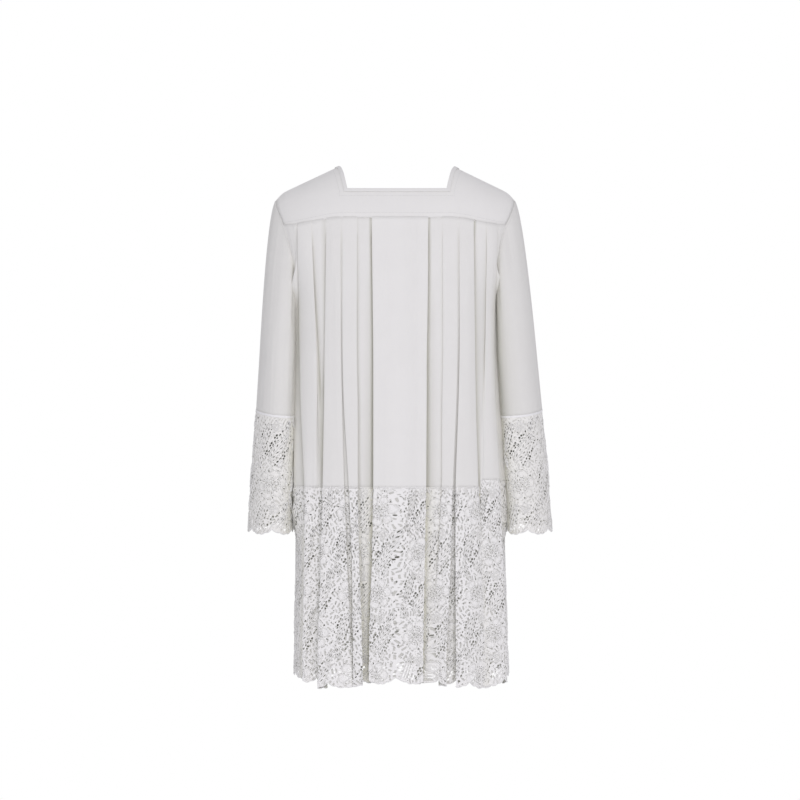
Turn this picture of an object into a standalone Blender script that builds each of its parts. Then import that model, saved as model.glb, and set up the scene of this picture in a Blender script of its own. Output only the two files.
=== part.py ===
"""A lace surplice as it hangs when worn: a square-necked yoke, a pleated back and front,
set-in sleeves, and a deep lace hem and cuffs.

Metres. +Z is up, the wearer faces -Y, and +X is the wearer's left. The origin is the middle of
the neck opening, level with the shoulder line, where the shoulders carry the garment."""

import functools
import math
from collections import namedtuple

import bpy
import numpy as np
from mathutils import Vector
from mathutils.geometry import delaunay_2d_cdt

CLOTH = 0.001  # wall of the plain cloth
YOKE_WALL = 0.002  # the yoke is cut double
LACE = 0.0014
GAP = 0.0003  # between two pieces at a seam
ARMHOLE_EASE = 0.0006  # each wall ends this far short of the armhole, where they meet at an angle
UNDERARM_EASE = 0.0022  # sets the sleeve off the side of the body, under the arm

ROUND = 24  # points round an armhole and a sleeve
LACE_SEAM = -0.621  # height of the seam between the body and its lace


def table(names, *rows):
    """Rows of numbers as one array for each named column."""
    return dict(zip(names.split(), np.array(rows, float).T))


def at(rows, column, height):
    """A column's value at a height, straight between the rows, which run downwards."""
    return np.interp(-np.asarray(height, float), -rows["height"], rows[column])


def blend(first, second, share):
    return first + (second - first) * share


def smooth(value):
    value = np.clip(value, 0, 1)
    return value * value * (3 - 2 * value)


# Armhole: an upright oval, and how far out it stands on each side
ARMHOLE = dict(top=-0.066, drop=0.204, reach=0.080)
ARMHOLE_OUT = table(
    "height left right",
    (-0.066, 0.2360, 0.2290),
    (-0.080, 0.2335, 0.2255),
    (-0.103, 0.2238, 0.2170),
    (-0.122, 0.2161, 0.2065),
    (-0.155, 0.2065, 0.1975),
    (-0.200, 0.1970, 0.1905),
    (-0.270, 0.1900, 0.1880),
)
UNDERARM = ARMHOLE["top"] - ARMHOLE["drop"]

# Body under its pleats: half-widths at the sides, and how far it stands out behind and in front
TRUNK = table(
    "height left right back front",
    (-0.104, 0.190, 0.1880, 0.112, 0.112),
    (-0.170, 0.190, 0.1880, 0.120, 0.123),
    (-0.270, 0.190, 0.1880, 0.124, 0.129),
    (-0.360, 0.187, 0.1860, 0.126, 0.131),
    (-0.455, 0.187, 0.1895, 0.128, 0.132),
    (-0.621, 0.190, 0.2005, 0.133, 0.136),
    (-0.757, 0.195, 0.2080, 0.138, 0.140),
    (-0.926, 0.199, 0.2145, 0.144, 0.146),
    (-1.010, 0.199, 0.2165, 0.147, 0.149),
)

# A panel of the body, seen from outside. Its left and right name the wearer's sides
# there, turned is -1 where it faces the front, and seam_turn is how many degrees round the
# armhole its seam with the yoke ends
Panel = namedtuple("Panel", "name turned square left right seam_turn")
BACK = Panel("back", 1, 3.2, "left", "right", 60)
FRONT = Panel("front", -1, 2.8, "right", "left", 90)
SEAM_RISE = 0.0126  # the yoke's seams lie this much higher in the middle than at the armholes
SEAM_LEVEL = 0.48  # the share of the way out over which they stay level

# Where the edge of each pleat lies across the panel, from its left to its right, at the
# heights in FOLD_HEIGHTS. The edge faces the left (1) or the right (-1). The front has the same
# pleats, as wide as its side of the body
FOLD_HEIGHTS = -np.array([0.120, 0.359, 0.454, 0.621, 0.757, 0.926])
Fold = namedtuple("Fold", "name faces yoke chest waist seam thigh knee")
FOLDS = (
    Fold("outer_left", 1, 0.1900, 0.1868, 0.1850, 0.1756, 0.1764, 0.1792),
    Fold("inner_left", -1, 0.1637, 0.1537, 0.1507, 0.1475, 0.1490, 0.1530),
    Fold("side_left_outer", 1, 0.1342, 0.1375, 0.1383, 0.1409, 0.1445, 0.1499),
    Fold("side_left_inner", -1, 0.1075, 0.1068, 0.1048, 0.1002, 0.0944, 0.0885),
    Fold("narrow_left_outer", 1, 0.1037, 0.1032, 0.1012, 0.0907, 0.0849, 0.0829),
    Fold("narrow_left_inner", -1, 0.0761, 0.0768, 0.0748, 0.0746, 0.0717, 0.0649),
    Fold("box_left", 1, 0.0475, 0.0445, 0.0444, 0.0443, 0.0471, 0.0527),
    Fold("box_right", -1, -0.0592, -0.0562, -0.0561, -0.0551, -0.0522, -0.0493),
    Fold("narrow_right_inner", 1, -0.0870, -0.0881, -0.0861, -0.0854, -0.0777, -0.0700),
    Fold("narrow_right_outer", -1, -0.1150, -0.1150, -0.1127, -0.1053, -0.1023, -0.0936),
    Fold("side_right_inner", 1, -0.1190, -0.1196, -0.1174, -0.1111, -0.1108, -0.1116),
    Fold("side_right_outer", -1, -0.1459, -0.1492, -0.1500, -0.1535, -0.1572, -0.1606),
    Fold("inner_right", 1, -0.1726, -0.1692, -0.1671, -0.1668, -0.1685, -0.1720),
    Fold("outer_right", -1, -0.1925, -0.1868, -0.1884, -0.1969, -0.2036, -0.2100),
)

BOX_EDGE = 6  # the fold at the left of the middle pleat

# How each pleat stands at the yoke, the lace seam and the hem, in metres, and how far its edge
# has faded there from a crisp fold (0) to a soft slope (1). `then` is the number of points on
# the cloth between this edge and the next one, and `lift` raises the lace seam
FORM = table(
    "stand_yoke stand_seam stand_hem faded_yoke faded_seam faded_hem then lift hem",
    (0.005, 0.020, 0.022, 0.0, 0.0, 0.0, 1, 0.000, -0.974),
    (0.005, 0.006, 0.004, 0.0, 0.8, 0.8, 1, 0.000, -0.978),
    (0.004, 0.014, 0.024, 0.0, 0.0, 0.0, 1, 0.000, -0.987),
    (0.004, 0.010, 0.012, 0.0, 0.2, 0.8, 0, 0.000, -0.984),
    (0.004, 0.012, 0.016, 0.0, 0.0, 0.2, 0, 0.000, -0.983),
    (0.004, 0.012, 0.020, 0.0, 0.0, 0.0, 1, 0.000, -0.979),
    (0.004, 0.014, 0.022, 0.0, 0.0, 0.0, 3, 0.000, -0.976),
    (0.004, 0.014, 0.022, 0.0, 0.0, 0.0, 1, 0.000, -0.976),
    (0.004, 0.008, 0.010, 0.0, 0.1, 1.0, 0, 0.000, -0.980),
    (0.004, 0.012, 0.020, 0.0, 0.0, 0.0, 0, 0.000, -0.981),
    (0.004, 0.013, 0.022, 0.0, 0.0, 0.0, 1, 0.000, -0.983),
    (0.005, 0.010, 0.008, 0.0, 0.6, 1.0, 0, 0.000, -0.988),
    (0.004, 0.008, 0.006, 0.0, 0.7, 1.0, 1, 0.013, -0.985),
    (0.005, 0.016, 0.018, 0.0, 0.2, 0.4, 0, 0.013, -0.983),
)
FORM_HEIGHTS = dict(yoke=-0.120, seam=-0.621, hem=-0.990)
SIDE_HEM = -0.972
TUCK = 0.75  # a crisp edge's inner turn lies this share of its height back under the pleat
TURN_DOWN = 0.0015  # a crisp edge turns down over this much
LOW_TURN_DOWN = 0.35  # a low or faded one over this share of its stand
SLOPE = 0.006  # a faded edge's foot lies this far out
ROUNDING = 0.003  # a faded edge is rounded over this much to each side
CROWN = 0.0015  # the middle of a pleat bows out
SIDE_POINTS = 4  # from the panel's end to its first fold

BODY_LEVELS = (-0.170, -0.270, -0.360, -0.455, -0.540)
LACE_LEVELS = (-0.757, -0.880)

# Lace: the scallops of its edge, its flowers, which stand in columns that drop by half, and the
# largest gaps round the leaves above each flower, measured from the flower's middle
SCALLOP = dict(pitch=0.058, depth=0.011, points=5)
SCALLOP_POWER = 0.7  # each scallop is a half sine to this power
CLOSEST = 0.004  # points on an edge of a flat piece lie at least this far apart
FLOWERS = dict(across=0.072, up=0.156, above_hem=0.012, from_box=0.036, in_cuff=0.030, a_cuff_half=3)
GAPS = table(
    "across up long wide turn",
    (-0.014, 0.062, 0.0110, 0.0056, 58),
    (-0.004, 0.077, 0.0110, 0.0056, 58),
    (0.006, 0.092, 0.0110, 0.0056, 52),
    (0.022, 0.052, 0.0100, 0.0056, 66),
    (0.029, 0.067, 0.0100, 0.0054, 60),
    (-0.029, 0.094, 0.0100, 0.0054, 75),
)
GAP_MARGIN = 0.0048  # lace left between a gap and a fold or an edge

SLEEVE = table(
    "height left_out left_in right_out right_in reach",
    (-0.360, 0.2670, 0.1930, 0.2715, 0.1915, 0.086),
    (-0.473, 0.2740, 0.1955, 0.2825, 0.1985, 0.088),
    (-0.590, 0.2828, 0.1985, 0.2935, 0.2060, 0.090),
    (-0.720, 0.2910, 0.2035, 0.3030, 0.2135, 0.092),
)
SLEEVE_SQUARE = 2.3
SLEEVE_HEAD = dict(out=0.016, down=0.019)  # where the sleeve's head turns down off the shoulder
SLEEVE_STEPS = (0.0, 0.12, 0.3, 0.55, 0.8, 1.0)
# Heights of the rings at the sleeve's outer side, and how much lower they hang behind
BICEP = dict(height=-0.360, behind=0.010)
CUFF_SEAM = dict(height=-0.473, behind=0.013)
CUFF_HEM = dict(height=-0.696, behind=0.004)
CUFF_SCALLOP = dict(pitch=0.058, depth=0.010, points=4)
CUFF_BAND = dict(height=0.006, wall=0.001)

# Yoke: its rows run from the back seam over the shoulder to the front seam. `arm` is the
# turn round the armhole in degrees, `neck` the share of the way down from the shoulder line.
# The rows next below the neck's corners lie a binding's width from them
YOKE_ROWS = table(
    "arm neck",
    (60, 1.00),
    (46, 0.85),
    (33, 0.70),
    (30, 0.66),
    (18, 0.40),
    (8, 0.18),
    (0, 0.00),
    (-8, -0.11),
    (-18, -0.24),
    (-30, -0.40),
    (-45, -0.60),
    (-60, -0.78),
    (-64, -0.81),
    (-77, -0.90),
    (-90, -1.00),
)
BACK_NECK_ROW, FRONT_NECK_ROW = 3, 11
YOKE_NECK_TURN = dict(back=80, front=85)  # how far the cloth has turned down at the seams
NECK = dict(ridge=0.1143, corner=0.0955)  # half-widths at the shoulder line and the corners
SHOULDER = dict(slope=0.47, tip=0.215, tip_length=0.021, tip_drop=0.009)
YOKE_OUT, YOKE_ACROSS = 5, 8  # points from the armhole to the binding, and across the neck
YOKE_STAND = 0.0025  # the yoke's seam lies over the middle of the pleats' thickness
YOKE_STAND_FROM = 0.12  # which it reaches over this share of the way in from the armhole
BINDING = dict(width=0.007, wall=0.001)


def wall(name, outer, inner, faces, material):
    """One closed piece from its outer and inner points and the faces over them, seen from outside."""
    count = len(outer)
    edges = {(a, b) for face in faces for a, b in zip(face, face[1:] + face[:1])}
    rim = [(b, a, a + count, b + count) for a, b in edges if (b, a) not in edges]
    # Both sides start at the same corner, so that a twisted face is split the same way
    inside = [tuple(point + count for point in (face[0], *face[:0:-1])) for face in faces]
    mesh = bpy.data.meshes.new(name)
    mesh.from_pydata(np.vstack([outer, inner]).tolist(), [], list(faces) + inside + sorted(rim))
    mesh.materials.append(material)
    mesh.shade_smooth()
    mesh.set_sharp_from_angle(angle=math.radians(40))
    piece = bpy.data.objects.new(name, mesh)
    bpy.context.scene.collection.objects.link(piece)
    return piece


def moved_out(line, distance, closed=False):
    """A line seen from above, moved to its right by a distance, with its corners kept."""
    ends = line[[-1]] if closed else 2 * line[[0]] - line[[1]]
    more = line[[0]] if closed else 2 * line[[-1]] - line[[-2]]
    step = np.diff(np.vstack([ends, line, more]), axis=0)
    step /= np.linalg.norm(step, axis=1)[:, None]
    side = np.column_stack([step[:, 1], -step[:, 0]])
    before, after = side[:-1], side[1:]
    return line + distance * (before + after) / (1 + (before * after).sum(axis=1))[:, None]


def shortened(line, ease):
    """The line with each end drawn in by a little."""
    line = line.copy()
    for end, inward in ((0, 1), (-1, -2)):
        along = line[inward] - line[end]
        line[end] += along * ease / np.linalg.norm(along)
    return line


def armhole_turn(height):
    """How far round the armhole a height lies, from its top, in radians."""
    return np.arccos(np.clip(1 - 2 * (ARMHOLE["top"] - height) / ARMHOLE["drop"], -1, 1))


def armhole_height(turn):
    return ARMHOLE["top"] - ARMHOLE["drop"] * (1 - np.cos(turn)) / 2


def half_width(panel, side, height):
    """Half-width of the body. Above the underarm it is such that the body meets the armhole."""
    if height <= UNDERARM:
        return at(TRUNK, side, height)
    reach = ARMHOLE["reach"] * np.sin(armhole_turn(height)) / at(TRUNK, panel.name, height)
    return at(ARMHOLE_OUT, side, height) / (1 - reach**panel.square) ** (1 / panel.square)


def round_body(panel, height, turn, stand):
    """Points round the panel at a height, by their turn from its middle, moved out by stand."""
    power = panel.square
    half = np.where(
        turn >= 0, half_width(panel, panel.left, height), half_width(panel, panel.right, height)
    )
    depth = at(TRUNK, panel.name, height)
    across = np.sign(turn) * np.abs(np.sin(turn)) ** (2 / power)
    out = np.abs(np.cos(turn)) ** (2 / power)
    normal = np.column_stack(
        [np.sign(across) * np.abs(across) ** (power - 1) / half, out ** (power - 1) / depth]
    )
    normal /= np.linalg.norm(normal, axis=1)[:, None]
    return np.column_stack([half * across, depth * out]) + normal * np.reshape(stand, (-1, 1))


def turn_at(panel, height, across, stand):
    """The turn at which a point that stands out by so much lies at a place across the panel."""
    turns = np.radians(np.linspace(-90, 90, 181))
    return np.interp(across, round_body(panel, height, turns, stand)[:, 0], turns)


def end_turn(panel, height):
    """Where the panel ends: at its side seam or, above the underarm, at the armhole."""
    reach = ARMHOLE["reach"] * math.sin(armhole_turn(height)) if height > UNDERARM else 0
    return math.acos((reach / at(TRUNK, panel.name, height)) ** (panel.square / 2))


def form_at(number, what, height):
    """A fold's stand or fading at a height."""
    places = list(FORM_HEIGHTS)
    values = [FORM[what + "_" + place][number] for place in places]
    return np.interp(-height, [-FORM_HEIGHTS[place] for place in places], values)


def fold_points(panel, number, height):
    """(turn, stand) of the four points of one pleat's edge, from its outer edge to the cloth
    under it: the edge, the turn below it, and the inner turn tucked back under the pleat."""
    fold = FOLDS[number]
    stand, faded = form_at(number, "stand", height), form_at(number, "faded", height)
    edge = np.interp(-height, -FOLD_HEIGHTS, fold[2:])
    behind, here = (BACK.left, panel.left) if edge > 0 else (BACK.right, panel.right)
    edge *= at(TRUNK, here, height) / at(TRUNK, behind, height)
    over = -fold.faces  # the way in which the pleat lies from its edge
    turn_down = min(TURN_DOWN if faded < 1 else stand, LOW_TURN_DOWN * stand)
    tucked = blend(TUCK * stand, -SLOPE, faded)
    spread = ROUNDING * faded
    points = (
        (edge + over * spread, stand),
        (edge - over * spread, stand - turn_down),
        (edge + over * (tucked - spread), turn_down),
        (edge + over * (tucked - 2 * spread), 0.0),
    )
    return [(turn_at(panel, height, across, out), out) for across, out in points]


@functools.lru_cache(maxsize=None)
def section(panel, height):
    """The panel's cloth at one height, seen from above, from its left end across every pleat
    to its right end. It has the same points at each height."""
    line = []
    for number, fold in enumerate(FOLDS):
        points = fold_points(panel, number, height)
        if fold.faces > 0:
            points.reverse()
        if line:
            then = int(FORM["then"][number - 1])
            bow = CROWN if FOLDS[number - 1].faces > 0 else 0
            for share in np.arange(1, then + 1) / (then + 1):
                turn, stand = (blend(a, b, share) for a, b in zip(line[-1], points[0]))
                line.append((turn, stand + bow * math.sin(math.pi * share)))
        line += points
    end = end_turn(panel, height)
    shares = np.arange(SIDE_POINTS) / SIDE_POINTS
    left = [(blend(end, line[0][0], share), 0.0) for share in shares]
    right = [(blend(-end, line[-1][0], share), 0.0) for share in shares[::-1]]
    turn, stand = np.array(left + line + right).T
    ease = GAP / 2 if height < UNDERARM else ARMHOLE_EASE
    return shortened(round_body(panel, height, turn, stand), ease)


def fold_columns():
    """The section's first column on each fold's edge. Each edge takes four."""
    return SIDE_POINTS + np.concatenate([[0], np.cumsum(4 + FORM["then"][:-1])]).astype(int)


def spread_to_columns(values, at_ends):
    """One value for each column of the section, from one for each fold and one at the panel's ends."""
    first = fold_columns()
    last_column = first[-1] + 3 + SIDE_POINTS
    known = np.column_stack([first, first + 3]).ravel()
    known_values = np.repeat(values, 2)
    return np.interp(
        np.arange(last_column + 1),
        np.concatenate([[0], known, [last_column]]),
        np.concatenate([[at_ends], known_values, [at_ends]]),
    )


def seam_height(panel, out):
    """The yoke seam's height, out being 0 at the panel's middle and 1 at the armhole."""
    end = armhole_height(math.radians(panel.seam_turn))
    return end + SEAM_RISE * (1 - smooth((np.abs(out) - SEAM_LEVEL) / SEAM_LEVEL))


def places_across(line):
    return np.concatenate([[0], np.cumsum(np.linalg.norm(np.diff(line, axis=0), axis=1))])


def scalloped(columns, heights, scallop):
    """The lower edge: arcs between cusps, with points at each column and along each arc."""
    width = columns[-1]
    count = round(width / scallop["pitch"])
    extra = np.linspace(0, width, count * scallop["points"] + 1)[1:-1]
    near = np.abs(extra[:, None] - columns).min(axis=1)
    across = np.sort(np.concatenate([columns, extra[near > CLOSEST]]))
    arcs = np.abs(np.sin(np.pi * across * count / width)) ** SCALLOP_POWER
    return across, np.interp(across, columns, heights) - scallop["depth"] * arcs


def flower_places(first, across_step, width, low, high):
    """(across, up) of the middle of each flower that can matter to a piece, from the first one's."""
    up_step = FLOWERS["up"]
    most = math.ceil(max(width / across_step, (high - low) / up_step)) + 2
    places = []
    for column in range(-most, most):
        start = first[1] + 0.5 * (column % 2) * up_step
        places += [(first[0] + column * across_step, start + row * up_step) for row in range(-2, most)]
    return places


def lace_gaps(columns, top, edge, firm, first, across_step):
    """Outlines of the gaps that fit between the folds and edges of one flat piece of lace."""
    width, low, high = columns[-1], edge[1].min(), top.max()
    found = []
    for flower in flower_places(first, across_step, width, low, high):
        for across, up, long, wide, turn in zip(*GAPS.values()):
            way = np.array([math.cos(math.radians(turn)), math.sin(math.radians(turn))])
            along = np.outer([0.5, 0, -0.5, 0], way) * long
            aside = np.outer([0, 0.5, 0, -0.5], (-way[1], way[0])) * wide
            outline = np.add(flower, (across, up)) + along + aside
            near = np.abs(outline[:, :1] - firm).min()
            below = outline[:, 1] - np.interp(outline[:, 0], *edge)
            above = np.interp(outline[:, 0], columns, top) - outline[:, 1]
            inside = GAP_MARGIN < outline[:, 0].min() and outline[:, 0].max() < width - GAP_MARGIN
            if inside and near > GAP_MARGIN and min(below.min(), above.min()) > 2 * GAP_MARGIN:
                found.append(outline)
    return found


def flat_piece(columns, top, edge, levels, end_levels=(), gaps=()):
    """A flat piece in triangles, (points, faces), cut along its columns, with its gaps left out."""
    points, lines, known = [], [], {}

    def point(across, height):
        key = (round(float(across), 6), round(float(height), 6))
        if key not in known:
            known[key] = len(points)
            points.append(key)
        return known[key]

    def line(places, closed=False):
        numbers = [point(*place) for place in places]
        lines.extend(zip(numbers, numbers[1:] + numbers[:1] if closed else numbers[1:]))

    bottom = np.interp(columns, *edge)
    for number, across in enumerate(columns):
        ends = number in (0, len(columns) - 1)
        inner = sorted({*levels, *(end_levels if ends else ())}, reverse=True)
        lowest, highest = bottom[number] + CLOSEST, top[number] - CLOSEST / 2
        inner = [height for height in inner if lowest < height < highest]
        line([(across, height) for height in (top[number], *inner, bottom[number])])
    line(zip(columns, top))
    line(zip(*edge))
    for outline in gaps:
        line(outline, closed=True)
    flat, _, faces, *_ = delaunay_2d_cdt([Vector(place) for place in points], lines, [], 0, 1e-7)
    flat = np.array([tuple(place) for place in flat])
    middles = flat[np.array(faces)].mean(axis=1)
    keep = (middles[:, 1] < np.interp(middles[:, 0], columns, top)) & (
        middles[:, 1] > np.interp(middles[:, 0], *edge)
    )
    for outline in gaps:
        sides = np.roll(outline, -1, axis=0) - outline
        to_middle = middles[:, None] - outline
        cross = sides[:, 0] * to_middle[:, :, 1] - sides[:, 1] * to_middle[:, :, 0]
        keep &= ~(cross > 0).all(axis=1)
    return flat, [tuple(face) for face, kept in zip(faces, keep) if kept]


def laid_out(section_at, columns, flat, thickness, turned=1):
    """A flat piece's points, (across, height), set on its form: (outer, inner) points. The
    sections give where each column lies at a height, seen from above."""
    outer, inner = np.empty((len(flat), 3)), np.empty((len(flat), 3))
    place = np.clip(np.searchsorted(columns, flat[:, 0], side="right") - 1, 0, len(columns) - 2)
    share = ((flat[:, 0] - columns[place]) / (columns[place + 1] - columns[place]))[:, None]
    for height in np.unique(np.round(flat[:, 1], 4)):
        at_height = np.round(flat[:, 1], 4) == height
        first, part = place[at_height], share[at_height]
        line = section_at(float(height))
        for points, distance in ((outer, thickness / 2), (inner, -thickness / 2)):
            moved = moved_out(line, distance) * turned
            points[at_height, :2] = blend(moved[first], moved[first + 1], part)
            points[at_height, 2] = flat[at_height, 1]
    return outer, inner


def body_panel(panel, material):
    """The pleated cloth from the yoke's seam to the lace."""
    line = section(panel, -0.36)
    columns = places_across(line)
    seam = np.array([yoke_point(*place) for place in yoke_row(0 if panel is BACK else -1)])
    seam = seam[np.argsort(seam[:, 0] * panel.turned)]
    along_seam = section(panel, armhole_height(math.radians(panel.seam_turn)))[:, 0]
    top = np.interp(along_seam, seam[:, 0] * panel.turned, seam[:, 2]) - GAP / 2
    bottom = LACE_SEAM + spread_to_columns(FORM["lift"], 0) + GAP / 2
    round_armhole = armhole_height(np.radians(np.arange(0, 181, 360 / ROUND)))
    flat, faces = flat_piece(columns, top, (columns, bottom), BODY_LEVELS, round_armhole)
    outer, inner = laid_out(functools.partial(section, panel), columns, flat, CLOTH, panel.turned)
    return wall(f"{panel.name}_panel", outer, inner, faces, material)


def firm_columns(columns):
    """The places of the crisp turns that no gap in the lace may touch."""
    crisp = fold_columns()[FORM["faded_hem"] < 0.5]
    return columns[(crisp[:, None] + np.arange(4)).ravel()]


def body_lace(panel, material):
    """The lace below the panel, which carries its pleats on down to the scalloped hem."""
    columns = places_across(section(panel, -0.80))
    top = LACE_SEAM + spread_to_columns(FORM["lift"], 0) - GAP / 2
    hem = spread_to_columns(FORM["hem"], SIDE_HEM)
    edge = scalloped(columns, hem, SCALLOP)
    first = columns[fold_columns()[BOX_EDGE]] + FLOWERS["from_box"], hem.min() + FLOWERS["above_hem"]
    gaps = lace_gaps(columns, top, edge, firm_columns(columns), first, FLOWERS["across"])
    flat, faces = flat_piece(columns, top, edge, LACE_LEVELS, gaps=gaps)
    outer, inner = laid_out(functools.partial(section, panel), columns, flat, LACE, panel.turned)
    return wall(f"{panel.name}_lace", outer, inner, faces, material)


def sleeve_oval(side, height, turn):
    """Points round the sleeve at a height, by their turn from its outer side towards its back."""
    half = (at(SLEEVE, side + "_out", height) - at(SLEEVE, side + "_in", height)) / 2
    middle = (at(SLEEVE, side + "_out", height) + at(SLEEVE, side + "_in", height)) / 2
    power = 2 / SLEEVE_SQUARE
    across = np.sign(np.cos(turn)) * np.abs(np.cos(turn)) ** power
    back = np.sign(np.sin(turn)) * np.abs(np.sin(turn)) ** power
    x = middle + half * across
    return np.column_stack([x if side == "left" else -x, at(SLEEVE, "reach", height) * back])


def ring_height(ring, turn):
    return ring["height"] - ring["behind"] * np.sin(turn)


def sleeve_ring(side, ring, turns):
    heights = ring_height(ring, turns)
    plan = [sleeve_oval(side, height, turn)[0] for height, turn in zip(heights, turns)]
    return np.column_stack([plan, heights])


def armhole_points(side, turns):
    heights = armhole_height(turns)
    out = at(ARMHOLE_OUT, side, heights)
    x = out if side == "left" else -out
    return np.column_stack([x, ARMHOLE["reach"] * np.sin(turns), heights])


def sleeve(side, material):
    """The sleeve from its armhole to the lace cuff."""
    turns = np.radians(np.arange(ROUND) * 360 / ROUND)
    outward = np.array([1 if side == "left" else -1, 0, 0])
    down = np.array([0, 0, -1])
    under = ((1 - np.cos(turns)) / 2)[:, None] ** 2
    head = armhole_points(side, turns) + outward * UNDERARM_EASE * under
    bicep = sleeve_ring(side, BICEP, turns)
    over = np.clip(np.cos(turns), 0, 1)[:, None]
    turned = head + outward * SLEEVE_HEAD["out"] + down * SLEEVE_HEAD["down"]
    guide = blend((head + bicep) / 2, turned, over)
    rings = []
    for step in SLEEVE_STEPS:
        rings.append((1 - step) ** 2 * head + 2 * step * (1 - step) * guide + step**2 * bicep)
    along = rings[1] - rings[0]
    rings[0] = rings[0] + along * ARMHOLE_EASE / np.linalg.norm(along, axis=1)[:, None]
    rings.append(sleeve_ring(side, CUFF_SEAM, turns) - down * GAP / 2)
    points = np.array(rings)
    faces = []
    for row in range(len(rings) - 1):
        for column in range(ROUND):
            after = (column + 1) % ROUND
            corners = (row, column), (row + 1, column), (row + 1, after), (row, after)
            faces.append(tuple(r * ROUND + c for r, c in corners))
    if side == "right":
        faces = [tuple(reversed(face)) for face in faces]
    points = points.reshape(-1, 3)
    normals = point_normals(points, faces)
    outer, inner = points + normals * CLOTH / 2, points - normals * CLOTH / 2
    return wall(f"sleeve_{side}", outer, inner, faces, material)


def point_normals(points, faces):
    """The outward direction at each point, from the faces round it."""
    normals = np.zeros_like(points)
    corners = np.array(faces)
    cross = np.cross(
        points[corners[:, 2]] - points[corners[:, 0]], points[corners[:, 3]] - points[corners[:, 1]]
    )
    for corner in range(4):
        np.add.at(normals, corners[:, corner], cross)
    return normals / np.linalg.norm(normals, axis=1)[:, None]


def cuff_lace(side, facing, material):
    """The back or front half of a lace cuff, with its scalloped edge. A half has an odd number
    of the flowers' columns, so the front's start half a repeat up and the pattern runs all round."""
    half = np.radians(np.arange(ROUND // 2 + 1) * 360 / ROUND) + (0 if facing == "back" else math.pi)
    turns = half if side == "left" else half[::-1]

    def section_at(height):
        plan = np.vstack([sleeve_oval(side, height, turn) for turn in turns])
        return shortened(plan, GAP / 2)

    columns = places_across(section_at(-0.59))
    top = ring_height(CUFF_SEAM, turns) - GAP / 2
    edge = scalloped(columns, ring_height(CUFF_HEM, turns), CUFF_SCALLOP)
    up = CUFF_HEM["height"] - CUFF_SCALLOP["depth"] + FLOWERS["above_hem"]
    first = FLOWERS["in_cuff"], up + (FLOWERS["up"] / 2 if facing == "front" else 0)
    across_step = columns[-1] / FLOWERS["a_cuff_half"]
    gaps = lace_gaps(columns, top, edge, columns[[0, -1]], first, across_step)
    flat, faces = flat_piece(columns, top, edge, (-0.590,), gaps=gaps)
    outer, inner = laid_out(section_at, columns, flat, LACE)
    return wall(f"cuff_lace_{side}_{facing}", outer, inner, faces, material)


def cuff_band(side, material):
    """The narrow strip that lies round the sleeve over the lace seam."""
    turns = np.radians(np.arange(ROUND) * 360 / ROUND)
    if side == "right":
        turns = turns[::-1]
    seam = sleeve_ring(side, CUFF_SEAM, turns)
    under = max(CLOTH, LACE) / 2 + GAP
    walls = []
    for distance in (under + CUFF_BAND["wall"], under):
        ring = moved_out(seam[:, :2], distance, closed=True)
        walls.append(
            np.vstack(
                [
                    np.column_stack([ring, seam[:, 2] + shift * CUFF_BAND["height"] / 2])
                    for shift in (1, -1)
                ]
            )
        )
    faces = [
        (number, number + ROUND, (number + 1) % ROUND + ROUND, (number + 1) % ROUND)
        for number in range(ROUND)
    ]
    return wall(f"cuff_band_{side}", *walls, faces, material)


def yoke_point(out, down):
    """A point of the yoke. out runs from -1 at the right armhole to 1 at the left, and down
    from 0 on the shoulder line to 1 at the back seam and -1 at the front seam."""
    panel, facing = (BACK, 1) if down >= 0 else (FRONT, -1)
    side, share = ("left" if out >= 0 else "right"), abs(out)
    arm_turn = math.radians(panel.seam_turn)
    full_turn = blend(math.radians(YOKE_NECK_TURN[panel.name]), arm_turn, share**2)
    x = share * at(ARMHOLE_OUT, side, armhole_height(abs(down) * arm_turn))
    beside_neck = max(0, share * ARMHOLE_OUT["left"][0] - NECK["ridge"])
    past_tip = max(0, share * ARMHOLE_OUT["left"][0] - SHOULDER["tip"]) / SHOULDER["tip_length"]
    ridge = -SHOULDER["slope"] * beside_neck - SHOULDER["tip_drop"] * past_tip**2
    seam_end = armhole_height(arm_turn)
    seam = seam_height(panel, share)
    width = half_width(panel, side, seam_end)
    seam_out = share * at(ARMHOLE_OUT, side, seam_end) / width
    depth = at(TRUNK, panel.name, seam_end) * (1 - seam_out**panel.square) ** (1 / panel.square)
    depth += YOKE_STAND * smooth((1 - share) / YOKE_STAND_FROM)
    fall = (ridge - seam) / (1 - math.cos(full_turn))
    turn = abs(down) * full_turn
    y = facing * depth * math.sin(turn) / math.sin(full_turn)
    return np.array([x if out >= 0 else -x, y, ridge - fall * (1 - math.cos(turn))])


def yoke_normal(out, down):
    step = 0.004
    out, down = np.clip(out, step - 1, 1 - step), np.clip(down, step - 1, 1 - step)
    across = yoke_point(out + step, down) - yoke_point(out - step, down)
    along = yoke_point(out, down + step) - yoke_point(out, down - step)
    normal = np.cross(across, along)
    return normal / np.linalg.norm(normal)


def neck_place(row, side):
    """(out, down) of the neck's edge on one of the yoke's rows."""
    down = YOKE_ROWS["neck"][row]
    corner = YOKE_ROWS["neck"][BACK_NECK_ROW if down >= 0 else FRONT_NECK_ROW]
    x = blend(NECK["ridge"], NECK["corner"], min(1, down / corner))
    turn = math.radians((BACK if down >= 0 else FRONT).seam_turn)
    name = "left" if side > 0 else "right"
    return side * x / at(ARMHOLE_OUT, name, armhole_height(abs(down) * turn)), down


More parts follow.
